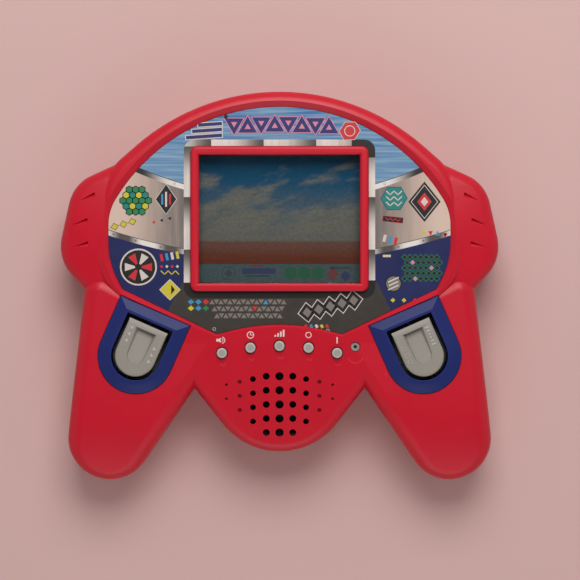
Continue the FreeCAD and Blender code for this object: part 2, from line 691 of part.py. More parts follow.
def front_cuts():
    """What goes through or into the front half's faces."""
    sky = crest_height + s.wall
    cuts = [prism(screen_outline(0), recess_underside - s.wall, sky)]
    pocket = s.bezel_half_width + s.fit_gap, s.bezel_straight + s.fit_gap
    skirt = s.skirt_wall + s.fit_gap
    throat = s.well_half_width + skirt, s.well_straight + skirt
    for _, side in SIDES:
        cuts.append(pad_prism(*pocket, pocket_floor, sky, side))
        cuts.append(pad_prism(*throat, s.parting_height, sky, side))
    for x, y in button_places():
        cuts.append(cylinder(s.button_radius + s.button_gap, board_top, sky, x, y))
    cuts.append(cylinder(s.reset_radius + s.fit_gap, board_top, sky, s.reset_x, s.reset_y))
    for x, y, radius in sound_holes(0, FIRST_BLIND_COLUMN):
        cuts.append(cylinder(radius, speaker_front - s.wall, sky, x, y))
    for x, y, radius in sound_holes(FIRST_BLIND_COLUMN, len(HOLE_COLUMNS)):
        cuts.append(cylinder(radius, face_height(y) - s.blind_depth, sky, x, y))
    for x, y in case_screw_places():
        cuts.append(cylinder(s.screw_radius + s.thread_gap, s.parting_height - s.wall,
                             s.screw_seat + s.screw_length + s.fit_gap, x, y))
    board_hole = s.board_screw_radius + s.thread_gap
    hole_top = s.board_screw_length + s.fit_gap
    for x, y in board_screw_places():
        cuts.append(cylinder(board_hole, board_height, board_height + hole_top, x, y))
    for point in key_screw_points():
        cuts.append(cylinder(board_hole, key_board_bottom, key_board_bottom + hole_top, point.x, point.y))
    notches = [notch_cut(start, end) for start, end in NOTCHES]
    return cuts + notches + [mirrored(notch) for notch in notches]


def screen_frame():
    """The raised red frame round the screen."""
    frame = prism(screen_outline(s.frame_band), recess_floor - s.wall / 2, frame_top)
    upright = [edge for edge in frame.Edges if edge.BoundBox.ZLength > s.frame_rise]
    frame = frame.makeFillet(s.frame_corner, upright)
    frame = frame.cut(prism(screen_outline(0), lens_bottom, frame_top + s.wall))
    return frame.makeFillet(s.frame_round, top_edges(frame))


def front_shell():
    room = front_form(s.wall, s.parting_height - s.wall)
    recess = prism(face_outline(s.wall), recess_underside, crest_height + s.wall)
    room = room.cut([recess] + front_supports())
    shell = front_form(0, s.parting_height).cut(room)
    slope = Part.makeLoft([lifted(face_outline(), recess_floor + s.sheet_thickness),
                           lifted(face_outline(s.rim_slope), crest_height)], True, True)
    shell = shell.cut([prism(face_outline(), recess_floor, crest_height + s.wall), slope])
    return shell.fuse(screen_frame()).cut(front_cuts())


def tub_outline():
    """The battery bay's walls, round the door's opening and the pockets of its hooks."""
    half = door_length / 2 + s.fit_gap + s.bay_wall
    low = s.bay_y - door_width / 2 - s.fit_gap - s.bay_wall
    return box_outline(-half, low, half, hinge_y + hook_room + s.bay_wall)


def rear_shell():
    supports = [cylinder(s.boss_radius, 0, s.parting_height, x, y) for x, y in case_screw_places()]
    room = back_form(s.wall, s.parting_height + s.wall).cut(supports + [prism(tub_outline(), 0, tub_top)])
    shell = back_form(0, s.parting_height).cut(room).fuse(prism(tub_outline(), s.wall, tub_top))
    half_length, half_width = bay_length / 2, bay_width / 2
    bay = box_outline(-half_length, s.bay_y - half_width, half_length, s.bay_y + half_width)
    gap = s.fit_gap
    door_x, door_y = door_length / 2 + gap, s.bay_y - door_width / 2 - gap
    mouth = box_outline(-door_x, door_y, door_x, hinge_y + gap)
    cuts = [prism(bay, -s.wall, bay_roof), prism(mouth, -s.wall, s.wall)]
    swing = math.hypot(s.hook_reach, hook_bottom + s.hook_thickness - s.door_sink)
    for _, side in SIDES:
        middle, half = side * s.hook_x, s.hook_width / 2 + gap
        pocket = box_outline(middle - half, s.bay_y, middle + half, hinge_y + hook_room)
        cuts.append(prism(pocket, s.wall, s.door_sink + swing + gap))
        middle, half = s.bay_y + side * cell_pitch / 2, s.tab_width / 2 + gap
        low_x = half_length - s.contact_thickness - gap
        slot = box_outline(low_x, middle - half, half_length + gap, middle + half)
        cuts.append(prism(slot, bay_roof - s.wall, tub_top + s.wall))
    for x, y in case_screw_places():
        cuts.append(cylinder(s.screw_head_radius + gap, -s.wall, s.screw_seat, x, y))
        cuts.append(cylinder(s.screw_radius + gap, 0, s.parting_height + s.wall, x, y))
    return shell.cut(cuts)


def faceplate():
    """The printed sheet, with its opening for the screen frame."""
    plate = prism(face_outline(-s.fit_gap), recess_floor, recess_floor + s.sheet_thickness)
    return plate.cut(prism(screen_outline(s.frame_band + s.fit_gap), recess_floor - s.wall, crest_height))


# Thumb pads, drawn in their own axes

def bezel(side):
    """The blue surround: a sloped ring, the skirt of its well, and slots that take the rocker's pivots."""
    edge, rise = deck_height + s.bezel_edge, deck_height + s.bezel_rise
    outside = s.bezel_half_width, s.bezel_straight
    land = s.well_half_width + s.bezel_lip, s.well_straight + s.bezel_lip
    ring = prism(d_outline(*outside), pocket_floor, edge)
    slope = Part.makeLoft([lifted(d_outline(*outside), edge), lifted(d_outline(*land), rise)], True, True)
    wall = s.skirt_wall
    skirt = prism(d_outline(s.well_half_width + wall, s.well_straight + wall), skirt_bottom, edge)
    well = prism(d_outline(s.well_half_width, s.well_straight), skirt_bottom - s.wall, rise + s.wall)
    bearing = s.pivot_radius + s.running_gap
    reach = s.well_straight + wall + s.fit_gap
    low = pivot_height - s.pivot_drop
    slot = Part.makeBox(2 * bearing, 2 * reach, s.pivot_drop, Vector(-bearing, -reach, low))
    bore = Part.makeCylinder(bearing, 2 * reach, Vector(0, -reach, pivot_height), Vector(0, 1, 0))
    return at_pad(ring.fuse([slope, skirt]).cut([well, slot, bore]), side)


def rocker(side):
    """The grey thumb rocker: a hollow cap with a thumb channel, two ribs and a pivot pin at each end."""
    top = deck_height + s.rocker_top
    roof = top - s.rocker_roof
    cap = prism(d_outline(rocker_half_width, rocker_straight), rocker_bottom, top)
    cap = cap.makeFillet(s.rocker_round, top_edges(cap))
    hollow = prism(d_outline(rocker_half_width - s.rocker_wall, rocker_straight - s.rocker_wall),
                   rocker_bottom - s.wall, roof)
    ribs = [cylinder(s.rib_radius, rocker_bottom + s.fit_gap, roof + s.fit_gap, x, s.dome_y)
            for x in (-s.dome_offset, s.dome_offset)]
    length = rocker_half_width + rocker_straight
    pivots = Part.makeCylinder(s.pivot_radius, length + 2 * s.pivot_reach,
                               Vector(0, -rocker_half_width - s.pivot_reach, pivot_height), Vector(0, 1, 0))
    corner = Vector(-s.well_half_width, s.rocker_wall - rocker_half_width, pivot_height - s.pivot_drop)
    between = Part.makeBox(2 * s.well_half_width, length - 2 * s.rocker_wall, 2 * s.pivot_drop, corner)
    pivots = pivots.cut(between)
    height = s.rocker_roof + s.wall
    mouth_half_width = s.channel_half_width + height * math.tan(math.radians(s.channel_lean))
    channel = Part.makeLoft([d_outline(s.channel_half_width, s.channel_straight),
                             lifted(d_outline(mouth_half_width, s.channel_straight), height)], True, True)
    floor = Vector(0, 0, top - s.channel_depth)
    slope = Rotation(Vector(1, 0, 0), -s.channel_slope)
    channel.Placement = Placement(floor, slope, Vector(0, s.channel_straight, 0))
    brow_start = Vector(-s.well_half_width, rocker_straight - s.brow_width, top)
    fall, rise = Vector(0, s.brow_width, -s.brow_drop), Vector(0, s.brow_width, s.brow_drop)
    brow = Part.makePolygon([brow_start, brow_start + fall * 2, brow_start + rise * 2, brow_start])
    brow = Part.Face(brow).extrude(Vector(2 * s.well_half_width, 0, 0))
    return at_pad(cap.cut(hollow).fuse(ribs + [pivots]).cut([channel, brow]), side)


# Bound objects

def bind(item, **expressions):
    """Ties properties to the sheet; a double underscore stands for a dot."""
    for name, size in expressions.items():
        size = size if isinstance(size, Size) else Size(size)
        item.setExpression(name.replace("__", "."), size.text)


def feature(label, shape):
    item = doc.addObject("Part::Feature", label)
    item.Shape = shape
    item.Label = label
    return item


def new_body(label, height, side=None):
    """A body whose own XY plane stands at a height, turned to a thumb pad's axes where a side is given."""
    body = doc.addObject("PartDesign::Body", label)
    body.Label = label
    if side:
        body.Placement = pad_placement(side, height)
        bind(body, Placement__Base__x=side * s.pad_x, Placement__Base__y=s.pad_y,
             Placement__Rotation__Angle=side * s.pad_tilt)
    bind(body, Placement__Base__z=height)
    return body


def new_sketch(body, offset=0):
    sketch = body.newObject("Sketcher::SketchObject", body.Name + "_outline")
    plane = next(item for item in body.Origin.OriginFeatures if item.Role == "XY_Plane")
    sketch.AttachmentSupport = [(plane, "")]
    sketch.MapMode = "FlatFace"
    if offset:
        bind(sketch, AttachmentOffset__Base__z=offset)
    return sketch


def fix_point(sketch, geometry, point, x, y):
    """Holds a point of the sketch at a distance from its origin."""
    for kind, size in (("DistanceX", x), ("DistanceY", y)):
        size = size if isinstance(size, Size) else Size(size)
        index = sketch.addConstraint(Sketcher.Constraint(kind, -1, 1, geometry, point, float(size)))
        sketch.setExpression(f"Constraints[{index}]", size.text)


def draw_polygon(sketch, corners):
    lines = []
    for (x, y), (next_x, next_y) in zip(corners, corners[1:] + corners[:1]):
        lines.append(sketch.addGeometry(Part.LineSegment(Vector(x, y, 0), Vector(next_x, next_y, 0))))
    for line, following in zip(lines, lines[1:] + lines[:1]):
        sketch.addConstraint(Sketcher.Constraint("Coincident", line, 2, following, 1))
    for line, (x, y) in zip(lines, corners):
        fix_point(sketch, line, 1, x, y)


def draw_rectangle(sketch, half_width, low, high):
    draw_polygon(sketch, [(-half_width, low), (half_width, low), (half_width, high), (-half_width, high)])


def draw_circle(sketch, x, y, radius):
    circle = sketch.addGeometry(Part.Circle(Vector(x, y, 0), UP, radius))
    fix_point(sketch, circle, 3, x, y)
    index = sketch.addConstraint(Sketcher.Constraint("Radius", circle, float(radius)))
    sketch.setExpression(f"Constraints[{index}]", radius.text)


def add_pad(body, sketch, thickness):
    pad = body.newObject("PartDesign::Pad", body.Name + "_pad")
    pad.Profile = sketch
    bind(pad, Length=thickness)
    return pad


def round_top(body, pad, radius):
    """Rounds the highest edges of a body."""
    doc.recompute()
    top = pad.Shape.BoundBox.ZMax - SAME
    names = [f"Edge{i}" for i, edge in enumerate(pad.Shape.Edges, start=1) if edge.BoundBox.ZMin > top]
    fillet = body.newObject("PartDesign::Fillet", body.Name + "_round")
    fillet.Base = (pad, names)
    bind(fillet, Radius=radius)
    return fillet


def pin(name, radius, bottom, length, x, y):
    """An upright cylinder from its underside and its length."""
    item = doc.addObject("Part::Cylinder", name)
    bind(item, Radius=radius, Height=length)
    bind(item, Placement__Base__x=x, Placement__Base__y=y, Placement__Base__z=bottom)
    return item


def block(name, low, size, turn=0):
    """A box from its lowest corner and its size, turned about +Y by some degrees."""
    item = doc.addObject("Part::Box", name)
    if turn:
        item.Placement = Placement(Vector(0, 0, 0), Rotation(Vector(0, 1, 0), turn))
        bind(item, Placement__Rotation__Angle=turn)
    bind(item, Length=size[0], Width=size[1], Height=size[2],
         Placement__Base__x=low[0], Placement__Base__y=low[1], Placement__Base__z=low[2])
    return item


def joined(label, pieces):
    item = doc.addObject("Part::MultiFuse", label)
    item.Shapes = pieces
    item.Label = label
    return item


def parted(label, base, tool):
    item = doc.addObject("Part::Cut", label)
    item.Base = base
    item.Tool = tool
    item.Label = label
    return item


def group(label, pieces):
    """Separate solids that share a node."""
    item = doc.addObject("Part::Compound", label)
    item.Links = pieces
    item.Label = label
    return item


# Screen

def screen_pieces():
    half_width, half_length = s.screen_width / 2, s.screen_length / 2
    low, high = s.screen_y - half_length, s.screen_y + half_length

    lens = new_body("screen_lens", lens_bottom)
    sketch = new_sketch(lens)
    draw_rectangle(sketch, half_width + s.lens_flange, low - s.lens_flange, high + s.lens_flange)
    add_pad(lens, sketch, s.lens_flange_thickness)
    sketch = new_sketch(lens, s.lens_flange_thickness)
    draw_rectangle(sketch, half_width - s.fit_gap, low + s.fit_gap, high - s.fit_gap)
    add_pad(lens, sketch, s.wall)

    glass_half = half_width + s.glass_border
    glass_low, glass_high = low - s.glass_border, high + s.glass_border
    glass = new_body("lcd_glass", glass_bottom)
    sketch = new_sketch(glass)
    draw_rectangle(sketch, glass_half, glass_low, glass_high)
    add_pad(glass, sketch, s.glass_thickness)

    strip_room = s.glass_border + s.strip_width + s.fit_gap
    card = new_body("lcd_backing_card", holder_ledge)
    sketch = new_sketch(card)
    draw_rectangle(sketch, glass_half, low + strip_room, high - strip_room)
    add_pad(card, sketch, s.backing_thickness)

    holder = new_body("lcd_holder", board_top)
    room = s.lens_flange + s.fit_gap
    outer = room + s.holder_wall
    sketch = new_sketch(holder)
    draw_rectangle(sketch, half_width + outer, low - outer, high + outer)
    draw_rectangle(sketch, half_width, low - s.glass_border, high + s.glass_border)
    add_pad(holder, sketch, holder_ledge - board_top)
    sketch = new_sketch(holder, holder_ledge - board_top)
    draw_rectangle(sketch, half_width + outer, low - outer, high + outer)
    draw_rectangle(sketch, half_width + room, low - room, high + room)
    add_pad(holder, sketch, recess_underside - holder_ledge)

    strips = [block(f"contact_strip_{i}", (-s.strip_length / 2, y, board_top),
                    (s.strip_length, s.strip_width, glass_bottom - board_top))
              for i, y in enumerate([glass_low + s.fit_gap, glass_high - s.fit_gap - s.strip_width])]
    return [lens, glass, card, holder, group("contact_strips", strips)]


# Circuit boards and keypads

def main_board_pieces():
    board = new_body("main_board", board_height)
    sketch = new_sketch(board)
    draw_polygon(sketch, [
        (-s.tongue_half_width, s.board_bottom_y), (s.tongue_half_width, s.board_bottom_y),
        (s.tongue_half_width, s.board_step_y), (s.board_half_width, s.board_step_y),
        (s.board_half_width, s.board_top_y), (-s.board_half_width, s.board_top_y),
        (-s.board_half_width, s.board_step_y), (-s.tongue_half_width, s.board_step_y),
    ])
    for side in (-1, 1):
        for y in (s.post_upper_y, s.post_lower_y):
            draw_circle(sketch, side * s.post_x, y, s.board_screw_radius + s.fit_gap)
    add_pad(board, sketch, s.board_thickness)

    cap = doc.addObject("Part::Cone", "chip_cap")
    cap.Label = "chip_cap"
    parts_y = (s.board_step_y + s.keypad_top_y) / 2
    bind(cap, Radius1=s.chip_radius, Radius2=s.chip_radius - s.chip_height, Height=s.chip_height,
         Placement__Base__y=parts_y, Placement__Base__z=board_top)
    spread = s.chip_radius + s.parts_gap + s.capacitor_radius
    tall = s.capacitor_length
    capacitors = [pin(f"{name}_capacitor", s.capacitor_radius, board_top, tall, side * spread, parts_y)
                  for name, side in SIDES]
    crystal_x = spread + s.capacitor_radius + s.parts_gap
    crystal = block("timing_crystal", (crystal_x, parts_y - s.crystal_width / 2, board_top),
                    (s.crystal_length, s.crystal_width, s.crystal_width))
    crystal.Label = "timing_crystal"

    keypad = new_body("function_keypad", board_top)
    sketch = new_sketch(keypad)
    margin = s.keypad_margin
    draw_rectangle(sketch, s.tongue_half_width - margin, s.board_bottom_y + margin, s.keypad_top_y)
    add_pad(keypad, sketch, s.mat_thickness)
    sketch = new_sketch(keypad, s.mat_thickness)
    for x, y in button_places():
        draw_circle(sketch, x, y, s.button_dome_radius)
    draw_circle(sketch, s.reset_x, s.reset_y, s.button_dome_radius)
    add_pad(keypad, sketch, flange_bottom - s.press_gap - keypad_top)
    return [board, cap, group("capacitors", capacitors), crystal, keypad]


def function_button(name, x, y):
    body = new_body(name, flange_bottom)
    sketch = new_sketch(body)
    draw_circle(sketch, x, y, s.flange_radius)
    add_pad(body, sketch, s.flange_thickness)
    sketch = new_sketch(body, s.flange_thickness)
    draw_circle(sketch, x, y, s.button_radius)
    stem = add_pad(body, sketch, deck_height + s.button_rise - flange_top)
    round_top(body, stem, s.button_round)
    return body


def reset_button():
    body = new_body("reset_button", flange_bottom)
    sketch = new_sketch(body)
    draw_circle(sketch, s.reset_x, s.reset_y, s.reset_flange_radius)
    add_pad(body, sketch, s.flange_thickness)
    sketch = new_sketch(body, s.flange_thickness)
    draw_circle(sketch, s.reset_x, s.reset_y, s.reset_radius)
    add_pad(body, sketch, deck_height - s.reset_sink - flange_top)
    sketch = new_sketch(body, deck_height - s.reset_sink - flange_bottom)
    draw_circle(sketch, s.reset_x, s.reset_y, s.dimple_radius)
    dimple = body.newObject("PartDesign::Pocket", "reset_button_dimple")
    dimple.Profile = sketch
    bind(dimple, Length=2 * s.dimple_radius)
    return body


def thumb_pad_pieces(name, side):
    board = new_body(f"{name}_key_board", key_board_bottom, side)
    sketch = new_sketch(board)
    draw_rectangle(sketch, s.key_board_half_width, -key_board_lower, key_board_upper)
    for y in key_screw_places():
        draw_circle(sketch, 0, y, s.board_screw_radius + s.fit_gap)
    add_pad(board, sketch, s.board_thickness)

    mat = new_body(f"{name}_key_mat", key_board_top, side)
    sketch = new_sketch(mat)
    draw_rectangle(sketch, s.key_board_half_width - s.fit_gap, s.mat_inset - key_board_lower,
                   key_board_upper - s.mat_inset)
    add_pad(mat, sketch, s.mat_thickness)
    sketch = new_sketch(mat, s.mat_thickness)
    for x in (-s.dome_offset, s.dome_offset):
        draw_circle(sketch, x, s.dome_y, s.dome_radius)
    add_pad(mat, sketch, rocker_bottom + s.fit_gap - s.press_gap - mat_top)

    width, thickness = s.ribbon_width, s.ribbon_thickness
    outer_x = s.pad_x - s.key_board_half_width
    low_x = s.ribbon_inner_x if side > 0 else -outer_x
    rise_x = s.ribbon_inner_x if side > 0 else -s.ribbon_inner_x - thickness
    low_y = s.ribbon_y - width / 2
    floor = key_board_bottom - thickness
    run = block(f"{name}_cable_run", (low_x, low_y, floor), (outer_x - s.ribbon_inner_x, width, thickness))
    rise = block(f"{name}_cable_rise", (rise_x, low_y, floor), (thickness, width, board_height - floor))
    return [board, mat, joined(f"{name}_flat_cable", [run, rise]),
            feature(f"{name}_bezel", bezel(side)), feature(f"{name}_rocker", rocker(side))]


# Speaker

def speaker_pieces():
    y = s.speaker_y
    floor = speaker_back + s.speaker_rim
    inside = s.speaker_radius - s.speaker_rim
    cup = pin("basket_cup", s.speaker_radius, speaker_back, s.speaker_depth, 0, y)
    basket = parted("speaker_basket", cup, pin("basket_hollow", inside, floor, s.speaker_depth, 0, y))
    magnet = pin("speaker_magnet", s.magnet_radius, speaker_back - s.magnet_depth, s.magnet_depth, 0, y)
    magnet.Label = "speaker_magnet"
    cones = []
    for name, inset in (("cone_outside", 0), ("cone_inside", s.cone_thickness)):
        cone = doc.addObject("Part::Cone", name)
        bind(cone, Radius1=s.cone_throat - inset, Radius2=inside - s.cone_gap - inset,
             Height=s.speaker_depth - s.speaker_rim - s.cone_gap,
             Placement__Base__y=y, Placement__Base__z=floor + inset / 2)
        cones.append(cone)
    return [basket, magnet, parted("speaker_cone", *cones), feature("speaker_leads", speaker_leads())]


def bent_tube(points, radius, bend):
    """A round wire along straight runs joined by tangent arcs."""
    edges = []
    last = points[0]
    for before, corner, after in zip(points, points[1:], points[2:]):
        back, ahead = (before - corner).normalize(), (after - corner).normalize()
        half = back.getAngle(ahead) / 2
        run = bend / math.tan(half)
        middle = (back + ahead).normalize()
        crest = corner + middle * (bend / math.sin(half) - bend)
        start, end = corner + back * run, corner + ahead * run
        edges += [Part.LineSegment(last, start).toShape(), Part.Arc(start, crest, end).toShape()]
        last = end
    edges.append(Part.LineSegment(last, points[-1]).toShape())
    end_circle = Part.Circle(points[0], points[1] - points[0], radius)
    return Part.Wire(edges).makePipeShell([Part.Wire(end_circle.toShape())], True, True)


def speaker_leads():
    """Two wires from the back of the speaker, under its collar, to the lower edge of the board."""
    low = speaker_back - s.lead_drop
    basket_y = s.speaker_y + s.speaker_radius - 2 * s.speaker_rim
    board_y = s.board_bottom_y + s.lead_inset
    route = [(basket_y, speaker_back), (basket_y, low), (board_y, low), (board_y, board_height)]
    wires = []
    for x in (-s.lead_x, s.lead_x):
        wires.append(bent_tube([Vector(x, y, z) for y, z in route], float(s.lead_radius), float(s.lead_bend)))
    return Part.makeCompound(wires)


# Battery bay

def battery(name, y, side):
    """A cell whose cap points to +X on side 1 and to -X on side -1."""
    cap_face = bay_length / 2 - s.contact_thickness - s.running_gap
    body_start = cap_face - s.cell_cap_length - s.cell_length
    pieces = []
    for part, radius, start, length in (
        ("body", s.cell_radius, body_start, s.cell_length),
        ("cap", s.cell_cap_radius, body_start + s.cell_length, s.cell_cap_length),
    ):
        item = doc.addObject("Part::Cylinder", f"{name}_{part}")
        item.Placement = Placement(Vector(0, 0, 0), Rotation(UP, Vector(side, 0, 0)))
        bind(item, Radius=radius, Height=length, Placement__Base__x=side * start, Placement__Base__y=y,
             Placement__Base__z=cell_height)
        pieces.append(item)
    return joined(name, pieces)


def contact_plate(name, side, y, width, top):
    """A plate against the bay's end wall."""
    low_x = bay_length / 2 - s.contact_thickness if side > 0 else -bay_length / 2
    bottom = cell_height - s.contact_width / 2
    return block(name, (low_x, y - width / 2, bottom), (s.contact_thickness, width, top - bottom))


def contact_leaf(name, side, y):
    """A leaf that stands off its plate and presses on a cell's flat end."""
    reach = s.contact_room - 3 * s.contact_thickness - s.fit_gap
    length = reach / math.sin(math.radians(s.leaf_turn))
    plate_x = bay_length / 2 - s.contact_thickness / 2
    low_x = plate_x - s.contact_thickness if side > 0 else -plate_x
    return block(name, (low_x, y - s.leaf_width / 2, cell_height - s.contact_width / 2 + s.contact_thickness),
                 (s.contact_thickness, s.leaf_width, length), -side * s.leaf_turn)


def battery_pieces():
    upper, lower = s.bay_y + cell_pitch / 2, s.bay_y - cell_pitch / 2
    plate_top = cell_height + s.contact_width / 2
    bridge = joined("bridge_contact", [
        contact_plate("bridge_plate", -1, s.bay_y, cell_pitch + s.contact_width, plate_top),
        contact_leaf("bridge_leaf", -1, upper),
    ])
    positive = joined("positive_contact", [
        contact_plate("positive_plate", 1, upper, s.contact_width, plate_top),
        contact_plate("positive_tab", 1, upper, s.tab_width, board_height),
    ])
    negative = joined("negative_contact", [
        contact_plate("negative_plate", 1, lower, s.contact_width, plate_top),
        contact_plate("negative_tab", 1, lower, s.tab_width, board_height),
        contact_leaf("negative_leaf", 1, lower),
    ])
    cells = [battery("upper_battery", upper, 1), battery("lower_battery", lower, -1)]
    return cells + [bridge, positive, negative, battery_door()]


def battery_door():
    low_y = s.bay_y - door_width / 2
    pieces = [block("door_plate", (-door_length / 2, low_y, s.door_sink),
                    (door_length, door_width, door_top - s.door_sink))]
    for name, side in SIDES:
        low_x = side * s.hook_x - s.hook_width / 2
        root = s.bay_ledge + s.hook_thickness
        pieces.append(block(f"{name}_hook_root", (low_x, hinge_y - root, door_top),
                            (s.hook_width, root, hook_bottom + s.hook_thickness - door_top)))
        pieces.append(block(f"{name}_hook", (low_x, hinge_y - root, hook_bottom),
                            (s.hook_width, root + s.hook_reach, s.hook_thickness)))
    pieces.append(block("door_latch", (-s.latch_width / 2, low_y + s.bay_ledge + s.latch_gap, door_top),
                        (s.latch_width, s.latch_thickness, s.latch_height)))
    return joined("battery_door", pieces)


# Screws

def screws(label, places, radius, head_radius, head_height, seat, length):
    """Upright screws with their heads below a seat."""
    items = []
    for i, (x, y) in enumerate(places):
        head = pin(f"{label}_head_{i}", head_radius, seat - head_height, head_height, x, y)
        shank = pin(f"{label}_shank_{i}", radius, seat, length, x, y)
        items.append(joined(f"{label}_{i}", [head, shank]))
    return group(label, items)


def all_screws():
    small = s.board_screw_radius, s.board_screw_head_radius, s.board_screw_head_height
    key_places = [(point.x, point.y) for point in key_screw_points()]
    return [
        screws("case_screws", case_screw_places(), s.screw_radius, s.screw_head_radius, s.screw_head_height,
               s.screw_seat, s.screw_length),
        screws("board_screws", board_screw_places(), *small, board_height, s.board_screw_length),
        screws("key_board_screws", key_places, *small, key_board_bottom, s.board_screw_length),
    ]


def export(pieces):
    doc.recompute()
    for item in doc.Objects:
        if "Invalid" in item.State or "Error" in item.State:
            raise RuntimeError(f"{item.Label} failed: {item.State}")
    for piece in pieces:
        if piece.Shape.isNull() or not piece.Shape.isValid() or not piece.Shape.Solids:
            raise RuntimeError(f"{piece.Label} has no valid shape")
    os.makedirs("parts", exist_ok=True)
    for piece in pieces:
        piece.Shape.exportStep(f"parts/{piece.Label}.step")
        print(f"{piece.Label}: {len(piece.Shape.Solids)} solids, {piece.Shape.Volume:.1f} cubic mm")


pieces = [feature("front_shell", front_shell()), feature("rear_shell", rear_shell()),
          feature("faceplate", faceplate())]
pieces += screen_pieces() + main_board_pieces()
pieces += [function_button(name, x, y) for name, (x, y) in zip(BUTTON_NAMES, button_places())]
pieces.append(reset_button())
for name, side in SIDES:
    pieces += thumb_pad_pieces(name, side)
pieces += speaker_pieces() + battery_pieces() + all_screws()
export(pieces)
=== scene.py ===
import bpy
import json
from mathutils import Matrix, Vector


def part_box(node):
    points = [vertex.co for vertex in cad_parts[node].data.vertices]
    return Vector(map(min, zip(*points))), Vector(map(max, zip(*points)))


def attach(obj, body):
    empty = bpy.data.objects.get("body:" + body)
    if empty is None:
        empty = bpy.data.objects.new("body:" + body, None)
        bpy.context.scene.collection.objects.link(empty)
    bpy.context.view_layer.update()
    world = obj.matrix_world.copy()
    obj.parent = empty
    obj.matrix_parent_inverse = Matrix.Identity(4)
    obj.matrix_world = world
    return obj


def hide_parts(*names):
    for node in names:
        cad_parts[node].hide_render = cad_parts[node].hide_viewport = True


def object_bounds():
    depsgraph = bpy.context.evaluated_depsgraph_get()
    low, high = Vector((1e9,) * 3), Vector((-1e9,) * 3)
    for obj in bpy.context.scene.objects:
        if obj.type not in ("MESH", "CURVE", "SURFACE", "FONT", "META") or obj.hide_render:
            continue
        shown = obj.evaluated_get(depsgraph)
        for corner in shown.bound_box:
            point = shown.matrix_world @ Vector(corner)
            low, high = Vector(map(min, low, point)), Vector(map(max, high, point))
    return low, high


bl_info = {
    "name": "Handheld Electronic Game",
    "version": (1, 0, 0),
    "blender": (4, 5, 0),
    "location": "View3D > Sidebar > Handheld Game",
    "description": "Finishes the solids of a handheld electronic game and sets its stage",
    "category": "Object",
}

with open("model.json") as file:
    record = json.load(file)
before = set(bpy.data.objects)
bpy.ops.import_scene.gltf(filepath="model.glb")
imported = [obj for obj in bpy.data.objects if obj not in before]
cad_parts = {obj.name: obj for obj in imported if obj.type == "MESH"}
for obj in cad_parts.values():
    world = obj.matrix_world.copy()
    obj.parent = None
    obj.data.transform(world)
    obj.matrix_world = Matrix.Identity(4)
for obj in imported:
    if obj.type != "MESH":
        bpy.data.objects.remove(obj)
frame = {"nodes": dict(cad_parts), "record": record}
CAD_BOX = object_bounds()

import json
import math

import bmesh
import bpy
from bpy.props import FloatProperty, FloatVectorProperty, PointerProperty
from mathutils import Matrix, Vector

MM = 0.001
# Points of a copied mesh that are nearer than this are one, in metres
WELD = 1e-6
# Faces smaller than this are too thin to tell which way they look, in square metres
SLIVER_AREA = 2e-9
SMOOTH_ANGLE = math.radians(30)
BODY_OF = {node: body for body, nodes in frame["record"]["behaviour"]["bodies"].items() for node in nodes}
SIDES = [("left", -1), ("right", 1)]
BUTTONS = ["sound_button", "time_button", "level_button", "off_button", "on_button"]
# Driving sizes of the case that the printed and moulded trim lines up with, in millimetres
SCREEN_Y = 24.4
SCREEN_HALF_WIDTH = 29.1
SCREEN_HALF_LENGTH = 23.2
FRAME_BAND = 3
BORDER = 2.5
PAD_X, PAD_Y, PAD_TILT = 51.9, -25.1, 23.7
WELL_LEVEL = 28.6
# The field of sound holes: its ends, how far out its dimples and its through holes lie, where it starts to
# narrow downwards and by how much, and the level that tells the face from the inside
HOLES_TOP_Y, HOLES_LOW_Y = -28, -55
DIMPLE_REACH, HOLE_REACH = 21, 12
NARROW_Y, NARROWING = -39, 0.9
INSIDE_LEVEL = 20
# The printed trims: their height in the middle, and their rise for each square millimetre of the way out
UPPER_TRIM = 31, 0.0042
LOWER_TRIM = 9.5, 0.0026
# The case's faces: the level that each starts from, where it starts to fall back, and the radius
BODY_LEVEL, BODY_FALL_Y, BODY_FALL_RADIUS = 31.0, 12, 380
GRIP_LEVEL, GRIP_FALL_Y, GRIP_FALL_RADIUS = 29.6, -38, 90
EAR_DOME_X, EAR_DOME_Y, EAR_DOME_RADIUS = 54, 24, 130


def box_of(node):
    """The lowest and the highest corner of a node, in millimetres."""
    return [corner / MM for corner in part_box(node)]


def middle_of(node):
    low, high = box_of(node)
    return (low + high) / 2


def shown(red, green, blue):
    """A colour as it looks on a display, from 0 to 255, as the linear colour that shaders take."""
    parts = [part / 255 for part in (red, green, blue)]
    return tuple(part / 12.92 if part < 0.04045 else ((part + 0.055) / 1.055) ** 2.4 for part in parts)


def colour_property(name, description, *display):
    return FloatVectorProperty(name=name, description=description, subtype="COLOR", min=0, max=1,
                               default=shown(*display))


def length_property(name, description, millimetres):
    return FloatProperty(name=name, description=description, default=millimetres * MM, min=0,
                         subtype="DISTANCE", unit="LENGTH", precision=5)


def share_property(name, description, default):
    return FloatProperty(name=name, description=description, default=default, min=0, max=1, subtype="FACTOR")


# Sizes and colours that a user would change

class CaseLooks(bpy.types.PropertyGroup):
    colour: colour_property("Shell", "Colour of the case halves", 194, 5, 35)
    roughness: share_property("Roughness", "How matt the case is", 0.4)
    seam: length_property("Seam", "Chamfer on each half along the seam", 0.25)


class PadLooks(bpy.types.PropertyGroup):
    surround: colour_property("Surround", "Colour of the surrounds", 26, 38, 100)
    rocker: colour_property("Rocker", "Colour of the thumb rockers", 142, 136, 127)
    mark: colour_property("Marks", "Colour of the marks, rubbed pale by thumbs", 176, 172, 164)
    edge: length_property("Edges", "Softening of the moulded edges", 0.2)
    mark_height: length_property("Mark Height", "How far the marks stand off the rockers", 0.15)


